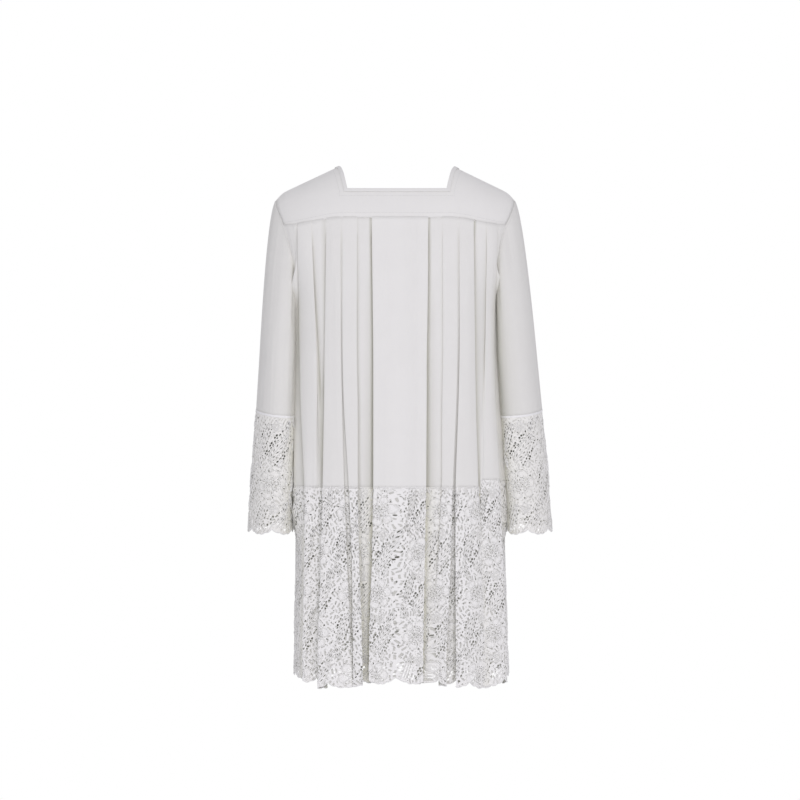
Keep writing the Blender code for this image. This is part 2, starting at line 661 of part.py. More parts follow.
def yoke_row(row):
    """(out, down) of the yoke's points on one row, from the left armhole to the right, with
    None across the neck's opening."""
    full_turn = (BACK if YOKE_ROWS["arm"][row] > 0 else FRONT).seam_turn
    arm, arm_down = 1 - ARMHOLE_EASE / ARMHOLE_OUT["left"][0], YOKE_ROWS["arm"][row] / full_turn
    (left, down), (right, _) = neck_place(row, 1), neck_place(row, -1)
    binding = BINDING["width"] / ARMHOLE_OUT["left"][0]
    shares = np.linspace(0, 1, YOKE_OUT)
    beside_left = [(blend(arm, left + binding, t), blend(arm_down, down, t)) for t in shares]
    beside_right = [(blend(-arm, right - binding, t), blend(arm_down, down, t)) for t in shares]
    across = [(out, down) for out in np.linspace(left, right, YOKE_ACROSS + 1)]
    if BACK_NECK_ROW < row < FRONT_NECK_ROW:
        across[1:-1] = [None] * (YOKE_ACROSS - 1)
    return beside_left + across + beside_right[::-1]


@functools.lru_cache(maxsize=None)
def yoke_grid():
    """(point, normal) on the yoke's middle surface for each (row, column) outside the neck."""
    grid = {}
    last = len(YOKE_ROWS["arm"]) - 1
    for row in range(last + 1):
        for column, place in enumerate(yoke_row(row)):
            if place is None:
                continue
            point, normal = yoke_point(*place), yoke_normal(*place)
            if row in (0, last):
                point[2] += GAP / 2
                normal[2] = 0
                normal /= np.linalg.norm(normal)
            grid[row, column] = point, normal
    return grid


def on_yoke(name, rows, columns, outer, inner, material):
    """A wall over the cells of the yoke's grid, between two distances from its middle surface."""
    grid = yoke_grid()
    cells = [
        ((row, column), (row, column + 1), (row + 1, column + 1), (row + 1, column))
        for row in rows
        for column in columns
    ]
    cells = [cell for cell in cells if all(corner in grid for corner in cell)]
    corners = sorted({corner for cell in cells for corner in cell})
    points, normals = np.array([grid[corner] for corner in corners]).transpose(1, 0, 2)
    faces = [tuple(corners.index(corner) for corner in cell) for cell in cells]
    return wall(name, points + normals * outer, points + normals * inner, faces, material)


def yoke(material):
    """The yoke over both shoulders, down to the back and front seams, with its square neck."""
    rows, columns = len(YOKE_ROWS["arm"]) - 1, 2 * YOKE_OUT + YOKE_ACROSS
    return on_yoke("yoke", range(rows), range(columns), YOKE_WALL / 2, -YOKE_WALL / 2, material)


def neck_binding(material):
    """The narrow strip sewn round the neck's edge, laid on the yoke."""
    rows = range(BACK_NECK_ROW - 1, FRONT_NECK_ROW + 1)
    columns = range(YOKE_OUT - 1, YOKE_OUT + YOKE_ACROSS + 1)
    under = YOKE_WALL / 2 + GAP
    return on_yoke("neck_binding", rows, columns, under + BINDING["wall"], under, material)


def cloth_material(name, color, roughness):
    material = bpy.data.materials.new(name)
    material.use_nodes = True
    shader = material.node_tree.nodes["Principled BSDF"]
    shader.inputs["Base Color"].default_value = (*color, 1)
    shader.inputs["Roughness"].default_value = roughness
    shader.inputs["Metallic"].default_value = 0
    return material


def main():
    for piece in list(bpy.data.objects):
        bpy.data.objects.remove(piece)
    cloth = cloth_material("white_cloth", (0.73, 0.72, 0.75), 0.85)
    lace = cloth_material("white_lace", (0.70, 0.69, 0.71), 0.9)
    binding = cloth_material("white_binding", (0.80, 0.79, 0.81), 0.8)
    yoke(cloth)
    neck_binding(binding)
    for panel in (BACK, FRONT):
        body_panel(panel, cloth)
        body_lace(panel, lace)
    for side in ("left", "right"):
        sleeve(side, cloth)
        cuff_band(side, binding)
        for facing in ("back", "front"):
            cuff_lace(side, facing, lace)


main()
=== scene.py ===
import math
import bmesh
import bpy
import numpy as np
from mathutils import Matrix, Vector
from mathutils.geometry import delaunay_2d_cdt


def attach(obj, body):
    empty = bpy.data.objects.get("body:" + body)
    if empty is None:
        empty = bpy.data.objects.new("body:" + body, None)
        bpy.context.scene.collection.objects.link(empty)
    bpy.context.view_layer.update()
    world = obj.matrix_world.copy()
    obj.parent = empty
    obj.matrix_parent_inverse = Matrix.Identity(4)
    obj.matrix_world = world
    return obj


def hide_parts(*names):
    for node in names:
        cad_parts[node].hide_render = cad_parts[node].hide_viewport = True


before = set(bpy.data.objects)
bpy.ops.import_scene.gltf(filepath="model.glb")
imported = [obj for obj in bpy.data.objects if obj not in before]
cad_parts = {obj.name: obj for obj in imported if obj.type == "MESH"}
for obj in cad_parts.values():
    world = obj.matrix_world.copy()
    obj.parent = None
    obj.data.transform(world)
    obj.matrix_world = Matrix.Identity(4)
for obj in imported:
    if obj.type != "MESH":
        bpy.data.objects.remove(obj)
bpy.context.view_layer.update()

# A lace surplice as worn. Metres, +Z up, the wearer faces -Y and the wearer's left is +X.
# Every piece is a surface on the garment's form: points and normals on a grid, read between
# its rows and columns.

sides = "left", "right"


# Small tools

def rowsOf(names, *rows):
    # One array for each named column of a small table
    return dict(zip(names.split(), np.array(rows, float).T))


def at(rows, column, height):
    # A column's value at any heights, straight between the rows, which run downwards
    return np.interp(-np.asarray(height, float), -rows["height"], rows[column])


def mix(first, second, share):
    return first + (second - first) * share


def ease(value):
    # 3t^2 - 2t^3, held at 0 and 1 outside them
    value = np.clip(value, 0, 1)
    return value * value * (3 - 2 * value)


def unit(vectors):
    return vectors / np.maximum(np.linalg.norm(vectors, axis=-1, keepdims=True), 1e-12)


def arcLength(path):
    # How far along a path each of its points lies
    return np.concatenate([[0], np.cumsum(np.linalg.norm(np.diff(path, axis=0), axis=1))])


def alongPath(path, places):
    # Points at distances along a path, straight between its points
    arc = arcLength(path[:, :3])
    return np.stack([np.interp(places, arc, column) for column in path.T], axis=-1)


def quads(number):
    # The four corners of each cell of a grid of point numbers, whose rows run down and whose
    # columns run to the right as seen from outside
    corners = number[:-1, :-1], number[1:, :-1], number[1:, 1:], number[:-1, 1:]
    return np.stack(corners, axis=-1).reshape(-1, 4)


def gridNormals(points):
    # At each point, the cross product of the steps down a column and along a row
    return unit(np.cross(np.gradient(points, axis=0), np.gradient(points, axis=1)))


def readGrid(grid, row, column):
    # A grid's values at row and column numbers with fractions, straight between the nearest four
    top = np.minimum(row.astype(int), grid.shape[0] - 2)
    left = np.minimum(column.astype(int), grid.shape[1] - 2)
    down, right = (row - top)[..., None], (column - left)[..., None]
    upper = mix(grid[top, left], grid[top, left + 1], right)
    lower = mix(grid[top + 1, left], grid[top + 1, left + 1], right)
    return mix(upper, lower, down)


def softBells(creases, place, down, fadeIn, fadeOut):
    # The sum of bells across the cloth, each faded in and out over its length
    total = np.zeros(np.broadcast(place, down).shape)
    for middle, wide, depth, top, bottom in zip(*creases.values()):
        fade = ease((down - top) / fadeIn) * ease((bottom - down) / fadeOut)
        total += depth * np.exp(-(((place - middle) / wide) ** 2)) * fade
    return total


def newPiece(name, points, faces, material, uv=None, uvFaces=None, sharp=40):
    # A mesh from arrays. uv holds one place for each number in uvFaces
    mesh = bpy.data.meshes.new(name)
    mesh.vertices.add(len(points))
    mesh.vertices.foreach_set("co", np.ascontiguousarray(points, np.float32).ravel())
    mesh.loops.add(faces.size)
    mesh.loops.foreach_set("vertex_index", faces.ravel().astype(np.int32))
    mesh.polygons.add(len(faces))
    mesh.polygons.foreach_set("loop_start", np.arange(len(faces), dtype=np.int32) * faces.shape[1])
    mesh.update(calc_edges=True)
    if uv is not None:
        corners = (faces if uvFaces is None else uvFaces).ravel()
        places = np.asarray(uv, np.float32)[corners]
        mesh.uv_layers.new(name="cloth").data.foreach_set("uv", places.ravel())
    mesh.materials.append(material)
    mesh.shade_smooth()
    mesh.set_sharp_from_angle(angle=math.radians(sharp))
    piece = bpy.data.objects.new(name, mesh)
    bpy.context.scene.collection.objects.link(piece)
    return piece


def gridPiece(name, points, uv, material, closed=False, keep=None):
    # A grid of points as a sheet. Where closed, its last column repeats its first
    rows, columns = points.shape[:2]
    uvFaces = quads(np.arange(rows * columns).reshape(rows, columns))
    faces = uvFaces
    if closed:
        points = points[:, :-1]
        number = np.arange(rows * (columns - 1)).reshape(rows, columns - 1)
        faces = quads(np.hstack([number, number[:, :1]]))
    if keep is not None:
        faces, uvFaces = faces[keep.ravel()], uvFaces[keep.ravel()]
    points = points.reshape(-1, 3)
    used = np.unique(faces)
    faces = np.searchsorted(used, faces)
    return newPiece(name, points[used], faces, material, uv.reshape(-1, 2), uvFaces)


def thicken(piece, thickness):
    # A wall to both sides of the sheet
    wall = piece.modifiers.new("wall", "SOLIDIFY")
    wall.thickness = thickness
    wall.offset = 0
    return piece


def carried(name, path, aside, outward, profile, material, closed=False):
    # A closed profile carried along a path: each point is the path's point, plus the profile's
    # first number along aside, plus its second along outward
    profile = np.array(profile)
    points = path[:, None] + aside[:, None] * profile[:, 0, None] + outward[:, None] * profile[:, 1, None]
    count, around = points.shape[:2]
    number = np.arange(count * around).reshape(count, around)
    number = np.hstack([number, number[:, :1]])
    if closed:
        number = np.vstack([number, number[:1]])
    faces = quads(number)
    girth = arcLength(np.vstack([profile, profile[:1]]))
    length = arcLength(path)
    if closed:
        length = np.append(length, length[-1] + np.linalg.norm(path[-1] - path[0]))
    grid = np.stack(np.meshgrid(length, girth, indexing="ij"), axis=-1)
    uvFaces = quads(np.arange(grid.shape[0] * grid.shape[1]).reshape(grid.shape[:2]))
    piece = newPiece(name, points.reshape(-1, 3), faces, material, grid.reshape(-1, 2), uvFaces)
    shell = bmesh.new()
    shell.from_mesh(piece.data)
    if not closed:
        bmesh.ops.holes_fill(shell, edges=[edge for edge in shell.edges if edge.is_boundary])
    bmesh.ops.recalc_face_normals(shell, faces=shell.faces)
    shell.to_mesh(piece.data)
    shell.free()
    return piece


def addMask(piece, name, values):
    made = piece.data.attributes.new(name, "FLOAT", "POINT")
    made.data.foreach_set("value", np.asarray(values, np.float32).ravel())


def joined(name, pieces):
    # Several pieces of one material as one
    bpy.ops.object.select_all(action="DESELECT")
    for piece in pieces:
        piece.select_set(True)
    bpy.context.view_layer.objects.active = pieces[0]
    bpy.ops.object.join()
    pieces[0].name = pieces[0].data.name = name
    return pieces[0]


def settled(piece, slot, *nodes):
    # Every piece rides on the garment's one body, and most stand for solids there
    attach(piece, "root")
    if nodes:
        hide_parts(*nodes)
    return piece


# Camera and light

view = dict(
    lens=115.4,
    sensor=36.0,
    place=(-0.00585, 5.0, -0.454),
    turned=(90, 0, 180),
    reach=60,
)
sky = dict(seen=(1.0, 1.0, 1.0), light=(0.920, 0.912, 1.0), strength=0.60)
lights = dict(
    keyLight=dict(place=(-1.25, 5.1, 1.1), power=88.5, tint=(0.940, 0.915, 1.0)),
    fillLight=dict(place=(3.2, 3.9, 0.0), power=16.0, tint=(0.925, 0.925, 1.0)),
    frontLight=dict(place=(0.8, -5.2, 1.1), power=42.0, tint=(0.940, 0.925, 1.0)),
)
lightDisk = dict(size=3.4, aim=(0, 0, -0.5))


def addCamera():
    data = bpy.data.cameras.new("photoView")
    data.lens, data.sensor_width, data.clip_end = view["lens"], view["sensor"], view["reach"]
    camera = bpy.data.objects.new("photoView", data)
    camera.location = view["place"]
    camera.rotation_euler = [math.radians(turn) for turn in view["turned"]]
    bpy.context.scene.collection.objects.link(camera)
    bpy.context.scene.camera = camera
    bpy.context.scene.view_settings.view_transform = "Standard"


def addLight(name, place, power, tint):
    data = bpy.data.lights.new(name, "AREA")
    data.shape, data.size, data.energy, data.color = "DISK", lightDisk["size"], power, tint
    light = bpy.data.objects.new(name, data)
    light.location = place
    way = Vector(lightDisk["aim"]) - Vector(place)
    light.rotation_euler = way.to_track_quat("-Z", "Y").to_euler()
    bpy.context.scene.collection.objects.link(light)


def addSky():
    # White behind the garment, and a softer sky as its light
    world = bpy.data.worlds.new("paleRoom")
    bpy.context.scene.world = world
    world.use_nodes = True
    tree = world.node_tree
    tree.nodes.clear()
    output = tree.nodes.new("ShaderNodeOutputWorld")
    seen, lit = tree.nodes.new("ShaderNodeBackground"), tree.nodes.new("ShaderNodeBackground")
    seen.inputs["Color"].default_value = (*sky["seen"], 1)
    lit.inputs["Color"].default_value = (*sky["light"], 1)
    lit.inputs["Strength"].default_value = sky["strength"]
    rays, either = tree.nodes.new("ShaderNodeLightPath"), tree.nodes.new("ShaderNodeMixShader")
    tree.links.new(rays.outputs["Is Camera Ray"], either.inputs[0])
    tree.links.new(lit.outputs[0], either.inputs[1])
    tree.links.new(seen.outputs[0], either.inputs[2])
    tree.links.new(either.outputs[0], output.inputs["Surface"])


addCamera()
addSky()
for name, light in lights.items():
    addLight(name, **light)
print("camera and light are set")


# Materials

def feed(tree, socket, value):
    # A link where the value is another node's output, and a steady value otherwise
    if isinstance(value, bpy.types.NodeSocket):
        tree.links.new(value, socket)
    else:
        socket.default_value = value


def addNode(tree, kind, inputs=(), **settings):
    # A shader node with its settings, and its inputs by name or number
    made = tree.nodes.new("ShaderNode" + kind)
    for name, value in settings.items():
        setattr(made, name, value)
    for name, value in dict(inputs).items():
        feed(tree, made.inputs[name], value)
    return made


def newGroup(name, outputs, **inputs):
    # A node group with a place and named numbers as inputs, and numbers as outputs. Gives the
    # group, its inputs, the place's x and y, and its outputs
    group = bpy.data.node_groups.new(name, "ShaderNodeTree")
    group.interface.new_socket("Place", in_out="INPUT", socket_type="NodeSocketVector")
    for socket, value in inputs.items():
        made = group.interface.new_socket(socket, in_out="INPUT", socket_type="NodeSocketFloat")
        made.default_value = value
    for socket in outputs:
        group.interface.new_socket(socket, in_out="OUTPUT", socket_type="NodeSocketFloat")
    given = group.nodes.new("NodeGroupInput").outputs
    split = addNode(group, "SeparateXYZ", {0: given["Place"]}).outputs[:2]
    return group, given, split, group.nodes.new("NodeGroupOutput").inputs


def maths(tree, operation, first, second=0.0):
    return addNode(tree, "Math", {0: first, 1: second}, operation=operation).outputs[0]


def times(tree, first, second):
    return maths(tree, "MULTIPLY", first, second)


def plus(tree, first, second):
    return maths(tree, "ADD", first, second)


def makeWeaveGroup():
    # Height is the product of two sines across the threads, Tone a faint soft cloud
    group, given, split, out = newGroup("plainWeave", ["Height", "Tone"], Threads=2200.0, Cloud=14.0)
    waves = [maths(group, "SINE", times(group, axis, given["Threads"])) for axis in split]
    cloud = addNode(group, "TexNoise", {"Vector": given["Place"], "Scale": given["Cloud"], "Detail": 3.0})
    group.links.new(times(group, *waves), out["Height"])
    group.links.new(cloud.outputs["Fac"], out["Tone"])
    return group


def makeDrapeGroup():
    # Soft upright unevenness of cloth that hangs: noise drawn out many times along the height
    group, given, (x, y), out = newGroup("hangingDrape", ["Height"], Across=55.0, Down=3.0)
    drawn = {0: times(group, x, given["Across"]), 1: times(group, y, given["Down"])}
    place = addNode(group, "CombineXYZ", drawn)
    noise = addNode(group, "TexNoise", {"Vector": place.outputs[0], "Scale": 1.0, "Detail": 2.5})
    group.links.new(noise.outputs["Fac"], out["Height"])
    return group


def makeThreadGroup():
    # Threads of satin stitch: fine waves at a slant, bent by noise
    group, given, (x, y), out = newGroup("satinThreads", ["Height"], Slant=0.9, Scale=900.0, Bend=5.0)
    line = plus(group, y, times(group, x, given["Slant"]))
    bend = addNode(group, "TexNoise", {"Vector": given["Place"], "Scale": 160.0, "Detail": 1.0})
    bend = times(group, bend.outputs["Fac"], given["Bend"])
    turn = plus(group, times(group, line, given["Scale"]), bend)
    group.links.new(maths(group, "SINE", turn), out["Height"])
    return group


def smoothStep(tree, value, low, high):
    limits = {"Value": value, "From Min": low, "From Max": high}
    return addNode(tree, "MapRange", limits, interpolation_type="SMOOTHSTEP").outputs["Result"]


strokeLook = dict(
    patches=74.0,
    grooves=900.0,
    leastSlant=1.92,
    slantSpan=2.44,
    slow=0.50,  # the slower wave, as a share of the grooves, and how far it is shifted by chance
    slowShift=6.0,
    grooveFrom=(0.0, 0.65),  # where each of the three sets in, from none to full
    slowFrom=(-0.8, -0.3),
    edgeFrom=(0.03, 0.11),
)


def makeStrokeGroup():
    # Short grooves in patches. Each Voronoi cell is a patch, and its colour gives their slant a.
    # A groove is where sin((x cos a + y sin a) Grooves) is high, broken by a slower wave along it
    # and faded out at the patch's edge
    patches, grooves = strokeLook["patches"], strokeLook["grooves"]
    group, given, (x, y), out = newGroup("laceStrokes", ["Groove"], Patches=patches, Grooves=grooves)
    cells = {"Vector": given["Place"], "Scale": given["Patches"]}
    patch, edge = (
        addNode(group, "TexVoronoi", cells, voronoi_dimensions="2D", feature=feature)
        for feature in ("F1", "DISTANCE_TO_EDGE")
    )
    chance = addNode(group, "SeparateXYZ", {0: patch.outputs["Color"]}).outputs
    slant = plus(group, times(group, chance[0], strokeLook["slantSpan"]), strokeLook["leastSlant"])
    cosine, sine = maths(group, "COSINE", slant), maths(group, "SINE", slant)
    aside = plus(group, times(group, x, cosine), times(group, y, sine))
    along = maths(group, "SUBTRACT", times(group, y, cosine), times(group, x, sine))
    wave = maths(group, "SINE", times(group, aside, given["Grooves"]))
    slow = times(group, times(group, along, given["Grooves"]), strokeLook["slow"])
    shift = times(group, chance[1], strokeLook["slowShift"])
    slow = maths(group, "SINE", plus(group, slow, shift))
    groove = smoothStep(group, wave, *strokeLook["grooveFrom"])
    groove = times(group, groove, smoothStep(group, slow, *strokeLook["slowFrom"]))
    inside = smoothStep(group, edge.outputs["Distance"], *strokeLook["edgeFrom"])
    group.links.new(times(group, groove, inside), out["Groove"])
    return group


weaveGroup, drapeGroup, threadGroup = makeWeaveGroup(), makeDrapeGroup(), makeThreadGroup()
strokeGroup = makeStrokeGroup()
fabric = dict(specular=0.25, sheenRoughness=0.6, weaveDepth=0.00012, weaveStrength=0.5)


def newMaterial(name, roughness, sheen):
    # A Principled BSDF with its steady values on its own sockets, and the piece's own UV map
    material = bpy.data.materials.new(name)
    material.use_nodes = True
    tree = material.node_tree
    shader = tree.nodes["Principled BSDF"]
    shader.inputs["Roughness"].default_value = roughness
    shader.inputs["Specular IOR Level"].default_value = fabric["specular"]
    shader.inputs["Sheen Weight"].default_value = sheen
    shader.inputs["Sheen Roughness"].default_value = fabric["sheenRoughness"]
    place = addNode(tree, "UVMap", uv_map="cloth").outputs[0]
    return material, tree, shader, place


def useGroup(tree, group, **inputs):
    return addNode(tree, "Group", inputs, node_tree=group)


def bump(tree, height, distance, strength=1.0, normal=None):
    made = addNode(tree, "Bump", {"Height": height, "Distance": distance, "Strength": strength})
    if normal is not None:
        tree.links.new(normal, made.inputs["Normal"])
    return made.outputs["Normal"]


def blendColor(tree, share, first, second):
    # Between two colours by a share, any of which may be a link
    made = addNode(tree, "Mix", {0: share}, data_type="RGBA")
    for number, color in ((6, first), (7, second)):
        feed(tree, made.inputs[number], (*color, 1) if isinstance(color, tuple) else color)
    return made.outputs[2]


# Painted shade: the colour the cloth turns to down in the folds, beside the sleeves and on them
paintedFoldShade = (0.56, 0.555, 0.46)
clothLook = dict(
    light=(0.905, 0.898, 0.835),
    dark=(0.868, 0.861, 0.798),
    roughness=0.82,
    sheen=0.08,
    threads=6300.0,
    drape=0.0012,
)
bindingLook = dict(
    light=(0.88, 0.874, 0.815),
    dark=(0.85, 0.844, 0.785),
    roughness=0.78,
    sheen=0.12,
    threads=5200.0,
    drape=0.0003,
)
bandLook = {**bindingLook, "light": (0.985, 0.98, 0.94), "dark": (0.94, 0.935, 0.89)}
cordLook = dict(
    light=(0.96, 0.955, 0.905),
    dark=(0.90, 0.895, 0.84),
    roughness=0.8,
    sheen=0.1,
    slant=1.0,
    scale=4200.0,
    depth=0.0001,
)
threadLook = dict(
    light=(0.74, 0.735, 0.69),
    dark=(0.64, 0.635, 0.59),
    roughness=0.65,
    sheen=0.1,
    slant=2.0,
    scale=9000.0,
    depth=0.00008,
)
laceLook = dict(
    motif=(0.95, 0.943, 0.885),
    # groove is the net's grey: partly its own pattern, partly painted shade seen through it
    groove=(0.66, 0.655, 0.585),
    # fold is a painted shade for the lace down in the folds
    fold=(0.90, 0.888, 0.765),
    # a painted shade colour for the side that lies against the wearer
    paintedInsideShade=(0.62, 0.62, 0.54),
    roughness=0.88,
    sheen=0.08,
    denseFade=0.8,  # how far the grooves fade on the motifs and down in the folds
    deepFade=0.97,
    threadDepth=0.0003,
    threadStrength=0.6,
    grooveDepth=0.0008,
)


def attribute(tree, name):
    return addNode(tree, "Attribute", attribute_name=name).outputs["Fac"]


def makeCloth(name, look):
    # Painted shade: the colour turns darker and warmer down in the folds, by the mesh's own attribute
    material, tree, shader, place = newMaterial(name, look["roughness"], look["sheen"])
    weave = useGroup(tree, weaveGroup, Place=place, Threads=look["threads"])
    color = blendColor(tree, weave.outputs["Tone"], look["dark"], look["light"])
    color = blendColor(tree, attribute(tree, "deep"), color, paintedFoldShade)
    tree.links.new(color, shader.inputs["Base Color"])
    soft = useGroup(tree, drapeGroup, Place=place)
    normal = bump(tree, soft.outputs["Height"], look["drape"])
    normal = bump(tree, weave.outputs["Height"], fabric["weaveDepth"], fabric["weaveStrength"], normal)
    tree.links.new(normal, shader.inputs["Normal"])
    return material


def makeLace():
    # Grooves lie between the motifs, and fade by the mesh's own attributes on leaves and petals
    # and down in the folds. Their grey is partly the net's own pattern and partly painted shade
    # seen through it. Down in the folds the colour turns to a painted shade, and the side that
    # lies against the wearer gets a painted shade colour
    material, tree, shader, place = newMaterial("laceGround", laceLook["roughness"], laceLook["sheen"])
    dense, deep = attribute(tree, "dense"), attribute(tree, "deep")
    fades = times(tree, dense, laceLook["denseFade"]), times(tree, deep, laceLook["deepFade"])
    shown = maths(tree, "SUBTRACT", 1.0, maths(tree, "MAXIMUM", *fades))
    strokes = useGroup(tree, strokeGroup, Place=place)
    groove = times(tree, strokes.outputs["Groove"], shown)
    # The grooves' grey is partly the net's pattern and partly painted shade seen through it
    color = blendColor(tree, groove, laceLook["motif"], laceLook["groove"])
    # Painted shade down in the folds
    color = blendColor(tree, deep, color, laceLook["fold"])
    # Painted shade on the side that faces inwards
    side = addNode(tree, "NewGeometry").outputs["Backfacing"]
    color = blendColor(tree, side, color, laceLook["paintedInsideShade"])
    tree.links.new(color, shader.inputs["Base Color"])
    threads = useGroup(tree, threadGroup, Place=place)
    normal = bump(tree, threads.outputs["Height"], laceLook["threadDepth"], laceLook["threadStrength"])
    normal = bump(tree, maths(tree, "SUBTRACT", 1.0, groove), laceLook["grooveDepth"], normal=normal)
    tree.links.new(normal, shader.inputs["Normal"])
    return material


def makeThread(name, look):
    material, tree, shader, place = newMaterial(name, look["roughness"], look["sheen"])
    threads = useGroup(tree, threadGroup, Place=place, Slant=look["slant"], Scale=look["scale"])
    color = blendColor(tree, threads.outputs["Height"], look["dark"], look["light"])
    tree.links.new(color, shader.inputs["Base Color"])
    tree.links.new(bump(tree, threads.outputs["Height"], look["depth"]), shader.inputs["Normal"])
    return material


clothMaterial = makeCloth("plainCloth", clothLook)
laceMaterial = makeLace()
cordMaterial = makeThread("laceCord", cordLook)
bindingMaterial = makeCloth("bindingStrip", bindingLook)
bandMaterial = makeCloth("cuffBand", bandLook)
threadMaterial = makeThread("sewingThread", threadLook)
print("materials are made")


# The body's form: an outline seen from above, with pleats standing on it

armhole = dict(top=-0.066, drop=0.204, reach=0.080)
armholeOut = rowsOf(
    "height left right",
    (-0.066, 0.2360, 0.2290),
    (-0.080, 0.2335, 0.2255),
    (-0.103, 0.2238, 0.2170),
    (-0.122, 0.2161, 0.2065),
    (-0.155, 0.2065, 0.1975),
    (-0.200, 0.1970, 0.1905),
    (-0.270, 0.1900, 0.1880),
)
trunk = rowsOf(
    "height left right back front",
    (-0.104, 0.190, 0.1880, 0.112, 0.112),
    (-0.170, 0.190, 0.1880, 0.120, 0.123),
    (-0.270, 0.190, 0.1880, 0.124, 0.129),
    (-0.360, 0.187, 0.1860, 0.126, 0.131),
    (-0.455, 0.187, 0.1895, 0.128, 0.132),
    (-0.621, 0.190, 0.2005, 0.133, 0.136),
    (-0.757, 0.195, 0.2080, 0.138, 0.140),
    (-0.926, 0.199, 0.2145, 0.144, 0.146),
    (-1.010, 0.199, 0.2165, 0.147, 0.149),
)
# turned is -1 for the panel that faces the front, and left and right name the wearer's sides
# at its left and right as seen from outside
backPanel = dict(name="back", turned=1, square=3.2, left="left", right="right", seamTurn=60, neckTurn=80)
frontPanel = dict(name="front", turned=-1, square=2.8, left="right", right="left", seamTurn=90, neckTurn=85)
panels = backPanel, frontPanel
yokeSeam = dict(rise=0.0126, level=0.48)

foldHeights = -np.array([0.120, 0.359, 0.454, 0.621, 0.757, 0.926])
foldPlaces = rowsOf(
    "faces yoke chest waist seam thigh knee",
    (1, 0.1900, 0.1868, 0.1850, 0.1756, 0.1764, 0.1792),
    (-1, 0.1637, 0.1537, 0.1537, 0.1600, 0.1610, 0.1630),
    (1, 0.1342, 0.1375, 0.1383, 0.1409, 0.1445, 0.1499),
    (-1, 0.1075, 0.1068, 0.1048, 0.1002, 0.0944, 0.0885),
    (1, 0.1037, 0.1032, 0.1012, 0.0907, 0.0849, 0.0829),
    (-1, 0.0761, 0.0768, 0.0748, 0.0746, 0.0717, 0.0649),
    (1, 0.0475, 0.0445, 0.0444, 0.0443, 0.0471, 0.0527),
    (-1, -0.0592, -0.0562, -0.0561, -0.0551, -0.0522, -0.0493),
    (1, -0.0870, -0.0881, -0.0861, -0.0854, -0.0777, -0.0700),
    (-1, -0.1150, -0.1150, -0.1127, -0.1053, -0.1023, -0.0936),
    (1, -0.1190, -0.1196, -0.1174, -0.1111, -0.1108, -0.1116),
    (-1, -0.1459, -0.1492, -0.1500, -0.1535, -0.1572, -0.1606),
    (1, -0.1726, -0.1692, -0.1671, -0.1668, -0.1685, -0.1720),
    (-1, -0.1925, -0.1868, -0.1884, -0.1969, -0.2036, -0.2100),
)
formHeights = -np.array([0.120, 0.621, 0.990])
# floor is the share of its stand at which the cloth lies out at a pleat's foot
pleatForm = rowsOf(
    "standYoke standSeam standHem fadedYoke fadedSeam fadedHem floorYoke floorSeam floorHem then lift hem",
    (0.005, 0.020, 0.022, 0.0, 0.0, 0.0, 0.00, 0.00, 0.00, 1, 0.000, -0.974),
    (0.005, 0.016, 0.014, 0.0, 1.0, 1.0, 0.70, 0.10, 0.10, 1, 0.000, -0.978),
    (0.004, 0.014, 0.024, 0.0, 0.0, 0.0, 0.45, 0.10, 0.20, 1, 0.000, -0.987),
    (0.004, 0.010, 0.012, 0.0, 0.2, 0.8, 0.85, 0.70, 0.50, 0, 0.000, -0.984),
    (0.004, 0.012, 0.016, 0.0, 0.0, 0.2, 0.85, 0.55, 0.50, 0, 0.000, -0.983),
    (0.004, 0.012, 0.020, 0.0, 0.0, 0.0, 0.75, 0.62, 0.22, 1, 0.000, -0.979),
    (0.004, 0.014, 0.022, 0.0, 0.0, 0.0, 0.35, 0.10, 0.10, 3, 0.000, -0.976),
    (0.004, 0.014, 0.022, 0.0, 0.0, 0.0, 0.35, 0.10, 0.10, 1, 0.000, -0.976),
    (0.004, 0.008, 0.010, 0.0, 0.1, 1.0, 0.85, 0.85, 0.60, 0, 0.000, -0.980),
    (0.004, 0.012, 0.020, 0.0, 0.0, 0.0, 0.85, 0.62, 0.40, 0, 0.000, -0.981),
    (0.004, 0.013, 0.022, 0.0, 0.0, 0.0, 0.85, 0.62, 0.40, 1, 0.000, -0.983),
    (0.005, 0.010, 0.008, 0.0, 0.6, 1.0, 0.35, 0.10, 0.10, 0, 0.000, -0.988),
    (0.004, 0.008, 0.006, 0.0, 0.7, 1.0, 0.80, 0.75, 0.60, 1, 0.013, -0.985),
    (0.005, 0.016, 0.018, 0.0, 0.2, 0.4, 0.00, 0.00, 0.00, 0, 0.013, -0.983),
)
pleat = dict(
    tuck=0.75,
    turnDown=0.0015,
    lowTurnDown=0.35,
    slope=0.014,
    rounding=0.004,
    crown=0.0015,
    sidePoints=4,
    boxEdge=6,
    rows=((0.098, 0.166, 15), (0.174, 0.620, 46), (0.630, 1.010, 39)),  # how far down, and how many
    rulerHeight=-0.80,  # distances across a panel are measured at this height
    span=0.0075,  # the longest step between two columns
    foldBlur=0.030,
    topFlat=0.24,  # at the yoke the pleats are pressed to this share of their stand
    topFlatLength=0.036,
    dip=0.0042,  # beside a pleat's edge the cloth under it dips in, over this width
    dipWidth=0.0072,
    highFloorDip=0.25,  # a shallow pleat has this share of the dip
)
